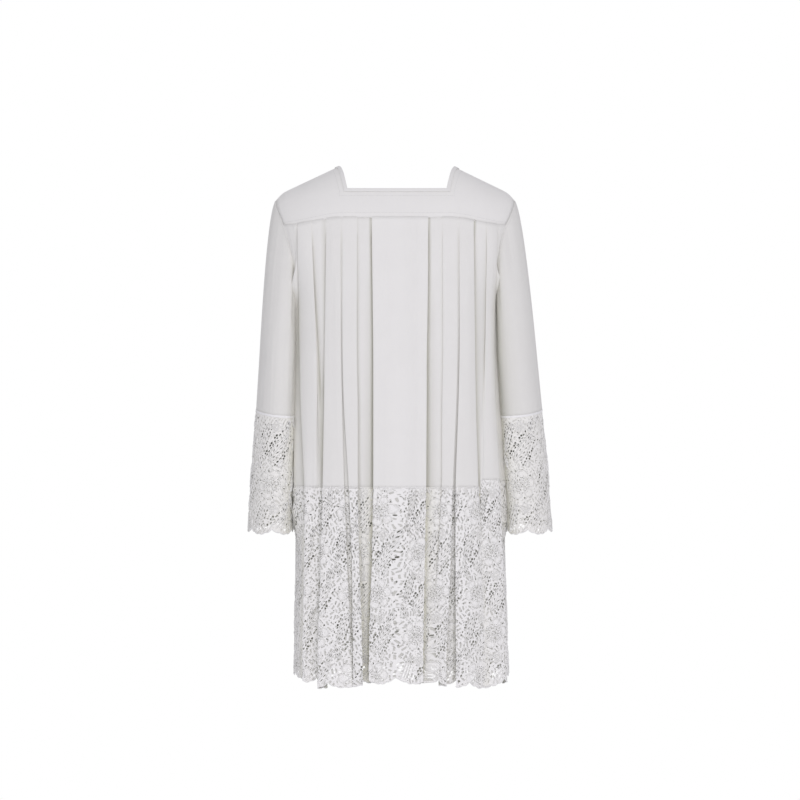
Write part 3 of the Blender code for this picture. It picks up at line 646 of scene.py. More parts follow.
# The sides bulge between the sleeves. They start at top near the back and the front, and fall
# to the underarm between them
fullSides = dict(
    shares=(0, 0.15, 0.35, 0.65, 1),
    out=(0, 0.009, 0.016, 0.0105, 0.0065),
    top=-0.125,
    fall=0.13,
    fadeIn=0.07,
    bottom=-0.745,
    fadeOut=0.085,
)
shade = dict(
    # Painted shade: how dark the cloth's colour is made beside each fold, from the panel's left, high up and
    # low down
    high=(0.5, 0.4, 0.4, 0.5, 0.5, 0.7, 0.7, 0.7, 0.7, 0.5, 0.6, 1.0, 0.8, 0.4),
    low=(0.9, 1.0, 1.0, 0.6, 0.5, 0.8, 0.7, 0.7, 0.8, 0.6, 0.7, 1.0, 0.8, 0.5),
    lowFrom=-0.36,
    lowFade=0.10,
    besideSleeve=(1.0, 0.2),  # and beside the sleeve at the panel's left and at its right
    sleeveReach=0.030,
    sleeveFrom=-0.22,
    sleeveFade=0.08,
    nearFold=0.5,  # just beyond the outermost folds
    nearReach=0.008,
    offMiddle=0.07,  # and it darkens this much from the box pleat outwards
    middle=0.045,
    middleFade=0.08,
    laceFrom=1.35,  # the lace's own fades out beyond the outermost folds
    laceReach=0.035,
)


def armholeTurn(height):
    # How far round the armhole a height lies, from its top
    return np.arccos(np.clip(1 - 2 * (armhole["top"] - height) / armhole["drop"], -1, 1))


def armholeHeight(turn):
    return armhole["top"] - armhole["drop"] * (1 - np.cos(turn)) / 2


def armholeAcross(onLeft, height):
    return np.where(onLeft, at(armholeOut, "left", height), at(armholeOut, "right", height))


def seamEndOf(panel):
    # Where the yoke's seam meets the armhole
    return armholeHeight(math.radians(panel["seamTurn"]))


underarm = armholeHeight(math.pi)


def halfWidth(panel, side, height):
    # From the table below the underarm. Above it, such that the outline meets the armhole
    reach = armhole["reach"] * np.sin(armholeTurn(height)) / at(trunk, panel["name"], height)
    above = at(armholeOut, side, height) / (1 - reach ** panel["square"]) ** (1 / panel["square"])
    return np.where(height > underarm, above, at(trunk, side, height))


def roundBody(panel, height, turn, stand):
    # |x / half|^p + |y / depth|^p = 1, with x = half sin(turn)^(2/p), moved out by stand
    power = panel["square"]
    left, right = (halfWidth(panel, panel[side], height) for side in ("left", "right"))
    half, depth = np.where(turn >= 0, left, right), at(trunk, panel["name"], height)
    across = np.sign(turn) * np.abs(np.sin(turn)) ** (2 / power)
    out = np.abs(np.cos(turn)) ** (2 / power)
    normal = np.stack(
        [np.sign(across) * np.abs(across) ** (power - 1) / half, out ** (power - 1) / depth], axis=-1
    )
    return np.stack([half * across, depth * out], axis=-1) + unit(normal) * np.asarray(stand)[..., None]


def turnAt(panel, height, across, stand, halvings=26):
    # Halves the range of turns until x is the place asked for
    low, high = np.full(across.shape, -math.pi / 2), np.full(across.shape, math.pi / 2)
    for _ in range(halvings):
        middle = (low + high) / 2
        short = roundBody(panel, height, middle, stand)[..., 0] < across
        low, high = np.where(short, middle, low), np.where(short, high, middle)
    return (low + high) / 2


def betweenHeights(heights, known, values, blur=0.0, count=5):
    # One row for each height from one row for each known height, and the mean of a few heights
    # near it where blur is given, so that no edge has a kink
    shifts = np.linspace(-blur, blur, count) if blur else [0.0]
    columns = np.transpose(values)
    near = [[np.interp(-(heights + shift), -known, column) for column in columns] for shift in shifts]
    return np.mean(near, axis=0).T


def pleatAt(what, heights):
    values = [pleatForm[what + place] for place in ("Yoke", "Seam", "Hem")]
    return betweenHeights(heights, formHeights, values)


def pressedAt(panel, heights):
    # The share of their stand that the pleats have, from pressed flat at the yoke to full
    return mix(pleat["topFlat"], 1.0, ease((seamEndOf(panel) - heights) / pleat["topFlatLength"]))


def pleatSection(panel, heights):
    # (turn, stand) of the cloth's columns at each height, from the panel's left to its right.
    # Each fold has four: its edge, the turn below it, the inner turn under the pleat, its foot
    faces, places = foldPlaces["faces"], ("yoke", "chest", "waist", "seam", "thigh", "knee")
    edge = betweenHeights(heights, foldHeights, [foldPlaces[place] for place in places], pleat["foldBlur"])
    stand, faded, floor = (pleatAt(what, heights) for what in ("stand", "faded", "floor"))
    faded = faded**2
    pressed = pressedAt(panel, heights)
    stand = stand * pressed[:, None]
    behind, here = (
        np.where(edge > 0, at(trunk, left, heights)[:, None], at(trunk, right, heights)[:, None])
        for left, right in (("left", "right"), (panel["left"], panel["right"]))
    )
    edge = edge * here / behind
    over = -faces
    turnDown = np.minimum(np.where(faded < 1, pleat["turnDown"], stand), pleat["lowTurnDown"] * stand)
    tucked = mix(pleat["tuck"] * stand, -pleat["slope"], faded)
    spread = pleat["rounding"] * faded
    steps = spread, -spread, tucked - spread, tucked - 2 * spread
    across = np.stack([edge + over * step for step in steps], axis=-1)
    out = np.stack([stand, stand - turnDown, floor * stand + (1 - floor) * turnDown, floor * stand], axis=-1)
    facesLeft = faces[:, None] > 0
    across = np.where(facesLeft, across[..., ::-1], across)
    out = np.where(facesLeft, out[..., ::-1], out)
    turn = turnAt(panel, heights[:, None, None], across, out)
    columns = []
    for fold in range(len(faces)):
        if fold:
            last, then = columns[-1], int(pleatForm["then"][fold - 1])
            bow = pleat["crown"] if faces[fold - 1] > 0 else 0
            for share in np.arange(1, then + 1) / (then + 1):
                between = (mix(last[0], turn[:, fold, 0], share), mix(last[1], out[:, fold, 0], share))
                columns.append((between[0], between[1] + bow * pressed * math.sin(math.pi * share)))
        columns += [(turn[:, fold, point], out[:, fold, point]) for point in range(4)]
    reach = np.where(heights > underarm, armhole["reach"] * np.sin(armholeTurn(heights)), 0)
    end = np.arccos((reach / at(trunk, panel["name"], heights)) ** (panel["square"] / 2))
    shares = np.arange(pleat["sidePoints"]) / pleat["sidePoints"]
    left = [(mix(end, columns[0][0], share), 0 * end) for share in shares]
    right = [(mix(-end, columns[-1][0], share), 0 * end) for share in shares[::-1]]
    return np.array(left + columns + right).transpose(2, 0, 1)


def foldColumns():
    # The first coarse column of each fold
    then = pleatForm["then"][:-1]
    return pleat["sidePoints"] + np.concatenate([[0], np.cumsum(4 + then)]).astype(int)


def atFolds(values, atEnds):
    # One value for each coarse column, from one for each fold and one at the panel's ends
    first = foldColumns()
    last = first[-1] + 3 + pleat["sidePoints"]
    known = np.concatenate([[0], np.column_stack([first, first + 3]).ravel(), [last]])
    values = np.concatenate([[atEnds], np.repeat(values, 2), [atEnds]])
    return np.interp(np.arange(last + 1), known, values)


def beyondFolds(across, label):
    # How far beyond the outermost folds each column lies, and below 0 between them
    first = foldColumns()
    return np.maximum(across[first[0]] - label, label - across[first[-1] + 3])


def finer(values, across, span):
    # Long steps between columns are divided, and then each corner is cut a quarter of the way
    # to its neighbours, which rounds the folds
    count = np.ceil(np.diff(across) / span).astype(int)
    number = np.concatenate([first + np.arange(n) / n for first, n in enumerate(count)] + [[len(count)]])
    low = np.minimum(number.astype(int), len(across) - 2)
    share = (number - low)[:, None]
    values = values[:, low] * (1 - share) + values[:, low + 1] * share
    near, far = (mix(values[:, :-1], values[:, 1:], share) for share in (0.25, 0.75))
    cut = np.stack([near, far], axis=2).reshape(len(values), -1, values.shape[-1])
    return np.concatenate([values[:, :1], cut, values[:, -1:]], axis=1)


def dipped(panel, heights, section, fine, across):
    # The cloth below dips in under each pleat's edge, and the sides are full between the sleeves
    first, faces = foldColumns(), foldPlaces["faces"]
    turn, stand, label = fine[..., 0], fine[..., 1].copy(), fine[0, :, 2]
    base = roundBody(panel, heights[:, None], turn, 0 * stand)
    edges = roundBody(panel, heights[:, None], section[..., 0], 0 * section[..., 1])
    shallow = mix(1.0, pleat["highFloorDip"], pleatAt("floor", heights))
    deep = pleat["dip"] * pressedAt(panel, heights)[:, None] * shallow
    total = np.zeros(stand.shape)
    for fold, facing in enumerate(faces):
        if facing > 0:
            foot, edge = first[fold], first[fold] + 3
            start, end = (across[first[fold - 1] + 3] if fold else across[0]), across[foot]
        else:
            foot, edge = first[fold] + 3, first[fold]
            last = fold == len(faces) - 1
            start, end = across[foot], (across[-1] if last else across[first[fold + 1]])
        away = np.linalg.norm(base - edges[:, edge : edge + 1], axis=2)
        beside = away * np.sign((turn - section[:, edge : edge + 1, 0]) * facing)
        below = (label >= start - 1e-6) & (label <= end + 1e-6)
        dip = deep[:, fold, None] * ease(1 - beside / pleat["dipWidth"])
        total = np.maximum(total, dip * below)
    outerLeft, outerRight = across[first[0]], across[first[-1] + 3]
    ends = 1 - label / outerLeft, (label - outerRight) / (across[-1] - outerRight)
    bulge = sum(np.interp(end, fullSides["shares"], fullSides["out"]) for end in ends)
    near, height = np.clip(np.maximum(*ends), 0, 1), heights[:, None]
    bulge = bulge * ease((fullSides["top"] - fullSides["fall"] * near - height) / fullSides["fadeIn"])
    return stand - total + bulge * ease((height - fullSides["bottom"]) / fullSides["fadeOut"])


def shaded(form, deep):
    # Painted shade: how dark the cloth's colour is made down in the folds, and beside the sleeves towards the
    # outer folds
    first, coarse, label, heights = foldColumns(), form["coarse"], form["across"], form["heights"][:, None]
    middles = (coarse[first] + coarse[first + 3]) / 2
    high, low = (np.interp(label, middles, shade[name]) for name in ("high", "low"))
    inner = deep * mix(high, low, ease((shade["lowFrom"] - heights) / shade["lowFade"]))
    beyond = beyondFolds(coarse, label)
    side = np.where(label < coarse[-1] / 2, *shade["besideSleeve"]) * ease(1 - beyond / shade["sleeveReach"])
    side = side * ease((shade["sleeveFrom"] - heights) / shade["sleeveFade"])
    near = shade["nearFold"] * deep * ease(1 - beyond / shade["nearReach"])
    box = pleat["boxEdge"]
    fromMiddle = np.abs(label - (middles[box] + middles[box + 1]) / 2)
    least = shade["offMiddle"] * ease((fromMiddle - shade["middle"]) / shade["middleFade"])
    return np.maximum(np.where(beyond > 0, np.maximum(side, near), inner), least)


def makeForm(points, heights, across):
    return dict(points=points, normals=gridNormals(points), heights=heights, across=across)


def bodyForm(panel):
    heights = -np.concatenate([np.linspace(*rows) for rows in pleat["rows"]])
    section = pleatSection(panel, np.append(heights, pleat["rulerHeight"]))
    across = arcLength(roundBody(panel, pleat["rulerHeight"], section[-1, :, 0], section[-1, :, 1]))
    labelled = np.concatenate([section[:-1], np.tile(across[None, :, None], (len(heights), 1, 1))], axis=2)
    fine = finer(labelled, across, pleat["span"])
    fine[..., 1] = dipped(panel, heights, section[:-1], fine, across)
    plan = roundBody(panel, heights[:, None], fine[..., 0], fine[..., 1]) * panel["turned"]
    upright = np.tile(heights[:, None, None], (1, fine.shape[1], 1))
    form = makeForm(np.concatenate([plan, upright], axis=2), heights, fine[0, :, 2])
    form["coarse"] = across
    # Where the cloth stands out by less than half of what most of it does
    deep = ease(1.0 - 2.0 * fine[..., 1] / np.percentile(fine[..., 1], 75, axis=1)[:, None])
    form["shade"] = shaded(form, deep)
    form["deep"] = deep * ease(shade["laceFrom"] - beyondFolds(across, form["across"]) / shade["laceReach"])
    return form


def between(form, grids, across, height):
    # Each grid's value at a distance across and a height
    rows, columns = form["points"].shape[:2]
    row = np.clip(np.interp(-height, -form["heights"], np.arange(rows)), 0, rows - 1.001)
    column = np.clip(np.interp(across, form["across"], np.arange(columns)), 0, columns - 1.001)
    return (readGrid(grid, row, column) for grid in grids)


def onForm(form, across, height, out=0.0):
    # The point there, moved out along the normal
    point, normal = between(form, (form["points"], form["normals"]), across, height)
    return point + unit(normal) * np.asarray(out)[..., None], unit(normal)


forms = {panel["name"]: bodyForm(panel) for panel in panels}
for name, form in forms.items():
    print(f"{name} form: {form['points'].shape[1]} columns, {form['across'][-1]:.3f} m across")


# Pleated cloth from the yoke to the lace

clothPanelCut = dict(
    wall=0.0009,
    rows=58,
    laceSeam=-0.621,
    lap=0.002,
    yokeLap=0.0006,
    raised=0.0005,  # the top lies over the yoke's edge
    raisedLength=0.020,
    creaseFades=(0.06, 0.08),
)
# Soft troughs (depth below 0) and ridges across each panel: where, how wide, how deep, and from
# how far down to how far down
panelCreases = rowsOf(
    "across wide depth top bottom",
    (0.030, 0.010, -0.0016, 0.260, 0.600),
    (0.4845, 0.011, -0.0017, 0.290, 0.610),
    (0.4560, 0.015, 0.0009, 0.170, 0.520),
    (0.4300, 0.008, -0.0007, 0.140, 0.440),
    (0.5020, 0.007, 0.0008, 0.150, 0.380),
    (0.2350, 0.009, -0.0010, 0.180, 0.560),
    (0.7050, 0.009, -0.0010, 0.220, 0.580),
)


def seamHeight(panel, share):
    # The yoke's seam: level over the middle, then down to the armhole
    fall = ease((np.abs(share) - yokeSeam["level"]) / yokeSeam["level"])
    return seamEndOf(panel) + yokeSeam["rise"] * (1 - fall)


def laceTop(form, across):
    lifts = atFolds(pleatForm["lift"], 0)
    return clothPanelCut["laceSeam"] + np.interp(across, form["coarse"], lifts)


def clothPanel(panel):
    form = forms[panel["name"]]
    across = form["across"]
    seamEnd = seamEndOf(panel)
    alongSeam = onForm(form, across, np.full(across.shape, seamEnd))[0][:, 0]
    top = seamHeight(panel, alongSeam / armholeAcross(alongSeam > 0, seamEnd)) + clothPanelCut["yokeLap"]
    bottom = laceTop(form, across) - clothPanelCut["lap"] / 2
    share = np.linspace(0, 1, clothPanelCut["rows"])[:, None]
    height = mix(top, bottom, share)
    across = np.broadcast_to(across, height.shape)
    raised = clothPanelCut["raised"] * ease(1 - (top - height) / clothPanelCut["raisedLength"])
    creases = softBells(panelCreases, across, -height, *clothPanelCut["creaseFades"])
    points, _ = onForm(form, across, height, creases + raised)
    uv = np.stack([across, height], axis=-1)
    name = f"cloth{panel['name'].title()}"
    piece = thicken(gridPiece(name, points, uv, clothMaterial), clothPanelCut["wall"])
    # The painted shade goes onto the panel as its deep attribute
    addMask(piece, "deep", next(between(form, [form["shade"][..., None]], across, height)))
    return settled(piece, "white_cloth", f"{panel['name']}_panel")


clothPanels = [clothPanel(panel) for panel in panels]
print("pleated panels are made")


# Yoke and neck binding

yokeCut = dict(
    wall=0.0006,
    ridge=0.1143,
    corner=0.0955,
    slope=0.47,
    tip=0.215,
    tipLength=0.021,
    tipDrop=0.009,
    uvDepth=0.16,
    beside=5,
    across=8,
    backNeckRow=3,
    frontNeckRow=11,
    finerRows=6,
    finerColumns=5,
)
# Rows from the back seam over the shoulder to the front one: degrees round the armhole, and the
# share of the way down from the shoulder line. The first and last lap 2 mm over the seams
yokeRows = rowsOf(
    "arm neck",
    (60.8, 1.012),
    (46, 0.85),
    (33, 0.70),
    (30, 0.66),
    (18, 0.40),
    (8, 0.18),
    (0, 0.00),
    (-8, -0.11),
    (-18, -0.24),
    (-30, -0.40),
    (-45, -0.60),
    (-60, -0.78),
    (-64, -0.81),
    (-77, -0.90),
    (-91.2, -1.012),
)
binding = dict(width=0.007, thick=0.0011, under=0.0011, overhang=0.0007, wrap=0.0024, seat=0.0002, lip=0.0006)


def yokeSide(panel, facing, out, down):
    # One half of the yoke. Each line from the shoulder to a seam is a quarter turn or so: its
    # depth grows by the sine of the turn, and it falls by one less the cosine
    share, left = np.abs(out), out >= 0
    armTurn, seamEnd = math.radians(panel["seamTurn"]), seamEndOf(panel)
    fullTurn = mix(math.radians(panel["neckTurn"]), armTurn, share**2)
    x = share * armholeAcross(left, armholeHeight(np.abs(down) * armTurn))
    shoulder = share * armholeOut["left"][0]
    beside = np.maximum(0, shoulder - yokeCut["ridge"])
    pastTip = np.maximum(0, shoulder - yokeCut["tip"]) / yokeCut["tipLength"]
    ridge = -yokeCut["slope"] * beside - yokeCut["tipDrop"] * pastTip**2
    reaches = [at(armholeOut, side, seamEnd) / halfWidth(panel, side, seamEnd) for side in sides]
    out, power = share * np.where(left, *reaches), panel["square"]
    depth = at(trunk, panel["name"], seamEnd) * (1 - out**power) ** (1 / power)
    fall = (ridge - seamHeight(panel, share)) / (1 - np.cos(fullTurn))
    turn = np.abs(down) * fullTurn
    y = facing * depth * np.sin(turn) / np.sin(fullTurn)
    return np.stack([np.where(left, x, -x), y, ridge - fall * (1 - np.cos(turn))], axis=-1)


def yokePoints(out, down):
    out, down = np.clip(out, -1, 1), np.asarray(down, float)
    behind = yokeSide(backPanel, 1, out, down)
    return np.where(down[..., None] >= 0, behind, yokeSide(frontPanel, -1, out, down))


def yokeNormals(out, down, step=0.004):
    out = np.clip(out, step - 1, 1 - step)
    across = yokePoints(out + step, down) - yokePoints(out - step, down)
    along = yokePoints(out, down + step) - yokePoints(out, down - step)
    return unit(np.cross(across, along))


def yokePlaces():
    # (out, down) of the yoke's coarse grid. Each row runs from the left armhole to the neck's
    # binding, across the neck, and on to the right armhole
    down = yokeRows["neck"]
    seamTurn = np.where(down >= 0, backPanel["seamTurn"], frontPanel["seamTurn"])
    armDown = yokeRows["arm"] / seamTurn
    corner = np.where(down >= 0, down[yokeCut["backNeckRow"]], down[yokeCut["frontNeckRow"]])
    x = mix(yokeCut["ridge"], yokeCut["corner"], np.minimum(1, down / corner))
    height = armholeHeight(np.abs(down) * np.radians(seamTurn))
    left, right = x / at(armholeOut, "left", height), -x / at(armholeOut, "right", height)
    strip = binding["width"] / armholeOut["left"][0]
    shares = np.linspace(0, 1, yokeCut["beside"])
    besideLeft = [(mix(1, left + strip, share), mix(armDown, down, share)) for share in shares]
    besideRight = [(mix(-1, right - strip, share), mix(armDown, down, share)) for share in shares[::-1]]
    neck = [(mix(left, right, share), down) for share in np.linspace(0, 1, yokeCut["across"] + 1)]
    return np.array(besideLeft + neck + besideRight).transpose(2, 0, 1)


def finerPlaces(places, rows, columns):
    # The same places with more between them, straight in both directions
    steps = places.shape[0] - 1, places.shape[1] - 1
    row, column = (np.linspace(0, step, step * more + 1) for step, more in zip(steps, (rows, columns)))
    return readGrid(places, row[:, None], column[None, :])


def clothYoke():
    rows, columns = yokeCut["finerRows"], yokeCut["finerColumns"]
    places = finerPlaces(yokePlaces(), rows, columns)
    points = yokePoints(places[..., 0], places[..., 1])
    number = np.indices((places.shape[0] - 1, places.shape[1] - 1))
    inRows = (number[0] >= yokeCut["backNeckRow"] * rows) & (number[0] < yokeCut["frontNeckRow"] * rows)
    first = yokeCut["beside"] * columns
    inColumns = (number[1] >= first) & (number[1] < first + yokeCut["across"] * columns)
    uv = np.stack([points[..., 0], places[..., 1] * yokeCut["uvDepth"]], axis=-1)
    # Rows run from the back seam up, so the grid is turned over to face outwards
    flip = slice(None, None, -1)
    keep = ~(inRows & inColumns)
    piece = gridPiece("clothYoke", points[:, flip], uv[:, flip], clothMaterial, keep=keep[:, flip])
    return settled(thicken(piece, yokeCut["wall"]), "white_cloth", "yoke")


def neckLoops(perSide=40):
    # The neck's edge and the binding's outer edge as two closed rows of (out, down) places
    places = yokePlaces()
    top, bottom = yokeCut["backNeckRow"], yokeCut["frontNeckRow"]
    left, right = yokeCut["beside"], yokeCut["beside"] + yokeCut["across"]

    def loop(grow):
        corners = places[top - grow : bottom + grow + 1, left - grow : right + grow + 1]
        edges = corners[:, 0], corners[-1], corners[::-1, -1], corners[0, ::-1]
        shares = np.linspace(0, 1, perSide + 1)[:-1]
        return np.vstack([alongPath(edge, shares * arcLength(edge)[-1]) for edge in edges])

    return loop(0), loop(1)


def bindingStrip():
    inner, outer = neckLoops()
    edge, middle = yokePoints(*inner.T), yokePoints(*outer.T)
    outward = yokeNormals(*mix(inner, outer, 0.5).T)
    width = np.linalg.norm(middle - edge, axis=1)
    aside = unit(middle - edge) * (width / width.min())[:, None]
    thick, under, wide = binding["thick"], binding["under"], binding["width"]
    over, wrap, seat = binding["overhang"], binding["wrap"], binding["seat"]
    profile = [
        (-over * 0.4, under - wrap),
        (-over, under - wrap * 0.6),
        (-over, under + thick * 0.4),
        (-over * 0.3, under + thick * 0.95),
        (wide * 0.12, under + thick * 1.15),
        (wide * 0.5, under + thick),
        (wide * 0.85, under + thick * 0.8),
        (wide, under + thick * 0.3),
        (wide, under - seat),
        (binding["lip"], under - seat),
        (seat, under - wrap),
    ]
    piece = carried("neckBinding", edge, aside, outward, profile, bindingMaterial, closed=True)
    return settled(piece, "white_binding", "neck_binding")


yokePiece = clothYoke()
bindingPiece = bindingStrip()
print("yoke and binding are made")


# Sleeves and the narrow bands over their lace seams

sleeveCut = rowsOf(
    "height leftOut leftIn rightOut rightIn reach",
    (-0.360, 0.2670, 0.1930, 0.2715, 0.1915, 0.086),
    (-0.473, 0.2740, 0.1955, 0.2825, 0.1985, 0.088),
    (-0.590, 0.2828, 0.1985, 0.2935, 0.2060, 0.090),
    (-0.720, 0.2910, 0.2035, 0.3030, 0.2135, 0.092),
)
sleeveShape = dict(
    square=2.5,
    skew=0.30,  # the back and the front lie nearer the body by this share of the half width
    headOut=0.016,
    headDown=0.019,
    underEase=0.0022,
    wall=0.0009,
    columns=120,
    headRows=40,
    headSpread=1.5,  # the head's rows lie closer towards the armhole
    lowRows=15,
    coarse=24,
    uvGirth=0.55,
    creaseFades=(0.15, 0.25),
)
bicep = dict(height=-0.360, behind=0.010, lean=0.0)
cuffSeam = dict(height=-0.473, behind=0.0085, lean=0.0085)
cuffHem = dict(height=-0.696, behind=0.004, lean=0.0)
cuffBand = dict(height=0.0042, thick=0.0006, under=0.0004, seat=0.0003)
cuffRings = dict(ruler=-0.590, rows=(0.450, 0.725, 45))
# A narrow raised edge on the sleeve along the armhole: how far from it, how wide and how high
armholeWelt = dict(away=0.0016, wide=0.0030, high=0.0004)
# Painted shade: the sleeves' colour is a little darker than the body's, more so on their inner side
sleeveShade = dict(all=0.13, left=0.04, right=0.40, start=0.35)
# Soft creases: degrees round the sleeve from its outer side towards its back, how wide, depth,
# and the rows between which they run, as shares of the sleeve's length
sleeveCreases = {
    "left": rowsOf(
        "turn wide depth top bottom",
        (118, 9, -0.0035, 0.05, 0.62),
        (96, 12, 0.0016, 0.02, 0.45),
        (240, 12, -0.0030, 0.10, 0.70),
    ),
    "right": rowsOf(
        "turn wide depth top bottom",
        (112, 10, -0.0028, 0.05, 0.55),
        (82, 14, 0.0015, 0.05, 0.50),
        (246, 12, -0.0028, 0.10, 0.65),
    ),
}


def sleeveOval(side, height, turn):
    # |x / half|^p + |y / reach|^p = 1 round the sleeve's middle, drawn inwards by skew (y / reach)^2
    outer, inner = at(sleeveCut, side + "Out", height), at(sleeveCut, side + "In", height)
    power = 2 / sleeveShape["square"]
    across = np.sign(np.cos(turn)) * np.abs(np.cos(turn)) ** power
    behind = np.sign(np.sin(turn)) * np.abs(np.sin(turn)) ** power
    x = (outer + inner) / 2 + (outer - inner) / 2 * (across - sleeveShape["skew"] * behind**2)
    return x if side == "left" else -x, at(sleeveCut, "reach", height) * behind


def ringHeight(ring, turn):
    # Lower behind the arm, and by lean at the sleeve's inner side
    return ring["height"] - ring["behind"] * np.sin(turn) - ring["lean"] * (1 - np.cos(turn)) / 2


def sleeveRing(side, ring, turn):
    height = ringHeight(ring, turn)
    return np.stack([*sleeveOval(side, height, turn), height], axis=-1)


def roundTurns(side, count):
    # Turns round a sleeve, to the right as seen from outside
    turns = np.linspace(0, 2 * math.pi, count + 1)
    return turns if side == "left" else turns[::-1]


def sleeveGrid(side, turns):
    # Rows from the armhole to the cuff: a quadratic curve over the head, through a guide that
    # turns down off the shoulder, and then rings
    outward, down = np.array([1 if side == "left" else -1, 0, 0]), np.array([0, 0, -1])
    height = armholeHeight(turns)
    x = at(armholeOut, side, height) * outward[0]
    head = np.stack([x, armhole["reach"] * np.sin(turns), height], axis=-1)
    head = head + outward * sleeveShape["underEase"] * (((1 - np.cos(turns)) / 2) ** 2)[:, None]
    ring = sleeveRing(side, bicep, turns)
    over = np.clip(np.cos(turns), 0, 1)[:, None]
    turned = head + outward * sleeveShape["headOut"] + down * sleeveShape["headDown"]
    guide = mix((head + ring) / 2, turned, over)
    step = (np.linspace(0, 1, sleeveShape["headRows"]) ** sleeveShape["headSpread"])[:, None, None]
    upper = (1 - step) ** 2 * head + 2 * step * (1 - step) * guide + step**2 * ring
    lower = []
    for share in np.linspace(0, 1, sleeveShape["lowRows"] + 1)[1:]:
        between = {key: mix(bicep[key], cuffSeam[key], share) for key in bicep}
        lower.append(sleeveRing(side, between, turns))
    return np.concatenate([upper, lower])


def closeNormals(normals):
    # The first and the last column are the same line
    normals[:, 0] = normals[:, -1] = unit(normals[:, 0] + normals[:, -1])
    return normals


def clothSleeve(side):
    turns = roundTurns(side, sleeveShape["columns"])
    points = sleeveGrid(side, turns)
    normals = closeNormals(gridNormals(points))
    length = np.linspace(0, 1, len(points))[:, None]
    down = np.cumsum(np.linalg.norm(np.diff(points, axis=0, prepend=points[:1]), axis=2), axis=0)
    welt = armholeWelt["high"] * np.exp(-(((down - armholeWelt["away"]) / armholeWelt["wide"]) ** 2))
    creases = softBells(sleeveCreases[side], np.degrees(turns)[None], length, *sleeveShape["creaseFades"])
    points = points + normals * (creases + welt)[..., None]
    girth = np.abs(turns - turns[0]) / (2 * math.pi) * sleeveShape["uvGirth"]
    uv = np.stack(np.broadcast_arrays(girth[None, :], points[..., 2]), axis=-1)
    piece = gridPiece(f"sleeve{side.title()}", points, uv, clothMaterial, closed=True)
    thicken(piece, sleeveShape["wall"])
    # Painted shade on the sleeve, carried as its deep attribute
    inner = ease(sleeveShade["start"] - np.cos(turns[:-1]))
    addMask(piece, "deep", np.tile(sleeveShade["all"] + sleeveShade[side] * inner, len(points)))
    return settled(piece, "white_cloth", f"sleeve_{side}")


def bandStrip(side):
    turns = roundTurns(side, sleeveShape["columns"])[:-1]
    path = sleeveRing(side, cuffSeam, turns)
    along = np.roll(path, -1, axis=0) - np.roll(path, 1, axis=0)
    up = np.tile([0.0, 0.0, 1.0], (len(path), 1))
    outward = unit(np.cross(along, up))
    outward = outward * np.sign((outward[:, :1] * (path[:, :1] - path[:, 0].mean())).sum())
    high, thick, under = cuffBand["height"] / 2, cuffBand["thick"], cuffBand["under"]
    profile = [
        (-high, under),
        (-high, under + thick * 0.6),
        (-high * 0.6, under + thick),
        (high * 0.6, under + thick),
        (high, under + thick * 0.6),
        (high, under),
        (high * 0.4, under - cuffBand["seat"]),
        (-high * 0.4, under - cuffBand["seat"]),
    ]
    piece = carried(f"band{side.title()}", path, up, outward, profile, bandMaterial, closed=True)
    return settled(piece, "white_binding", f"cuff_band_{side}")


sleeves = {side: clothSleeve(side) for side in sides}
bands = {side: bandStrip(side) for side in sides}
print("sleeves and bands are made")


# Lace. A flat pattern of flowers and leaves, cut through between them, is laid on the form

laceFlat = dict(
    across=0.072,
    up=0.156,
    aboveHem=0.012,
    fromBox=0.036,
    inCuff=0.030,
    cuffColumns=3,
    around=0.1,  # flowers this far outside a piece still reach it, and from below a whole one
    flowerHeight=0.2,
    holeMargins=(0.0044, 0.0046, 0.0008),  # from the lower edge, the upper edge and the sides
    motifMargins=(0.0022, 0.001, 0.001),
    cordMargins=(0.0006, 0.0006, 0.0006),
    heading=0.0046,
    headingSpread=1.4,
    lapSpread=1.6,
    denseEdge=0.0008,
    lap=0.002,  # the body's lace is sewn over the cloth by this much, and lies this far out there
    lapOut=0.0006,
    relief=0.0009,
    rib=0.00025,
    ribPitch=0.0042,
    edgeStep=0.0018,
    topStep=0.006,
    closeAt=0.5,  # the small holes close where the folds lie behind each other
    firmTurn=14,  # columns that turn by more degrees stay whole lines in the lace
    bodyLevels=44,
    cuffLevels=28,
    # a painted shade on the cuffs, more towards their inner side, where it also closes the small holes
    cuffPaintedShade=(0.25, 0.30),
)
hemEdge = dict(pitch=0.058, depth=0.011, side=-0.972, power=0.7, small=4, smallDepth=0.0022)
cuffEdge = dict(pitch=0.058, depth=0.010, power=0.7, small=4, smallDepth=0.0020)
# The largest gaps, measured from the flower below them, as in the solids
laceGaps = rowsOf(
    "across up long wide turn",
    (-0.014, 0.062, 0.0110, 0.0056, 58),
    (-0.004, 0.077, 0.0110, 0.0056, 58),
    (0.006, 0.092, 0.0110, 0.0056, 52),
    (0.022, 0.052, 0.0100, 0.0056, 66),
    (0.029, 0.067, 0.0100, 0.0054, 60),
    (-0.029, 0.094, 0.0100, 0.0054, 75),
)
# Rows of smaller gaps along the leaves: from, to, how many, how long and how wide
gapStrings = rowsOf(
    "fromAcross fromUp toAcross toUp count long wide",
    (-0.0175, 0.0480, 0.0190, 0.1050, 9, 0.0054, 0.0025),
    (0.0050, 0.0350, 0.0400, 0.0885, 9, 0.0054, 0.0026),
    (-0.0010, 0.1170, -0.0210, 0.0610, 8, 0.0050, 0.0024),
    (-0.0190, 0.1180, -0.0390, 0.0740, 7, 0.0046, 0.0022),
)
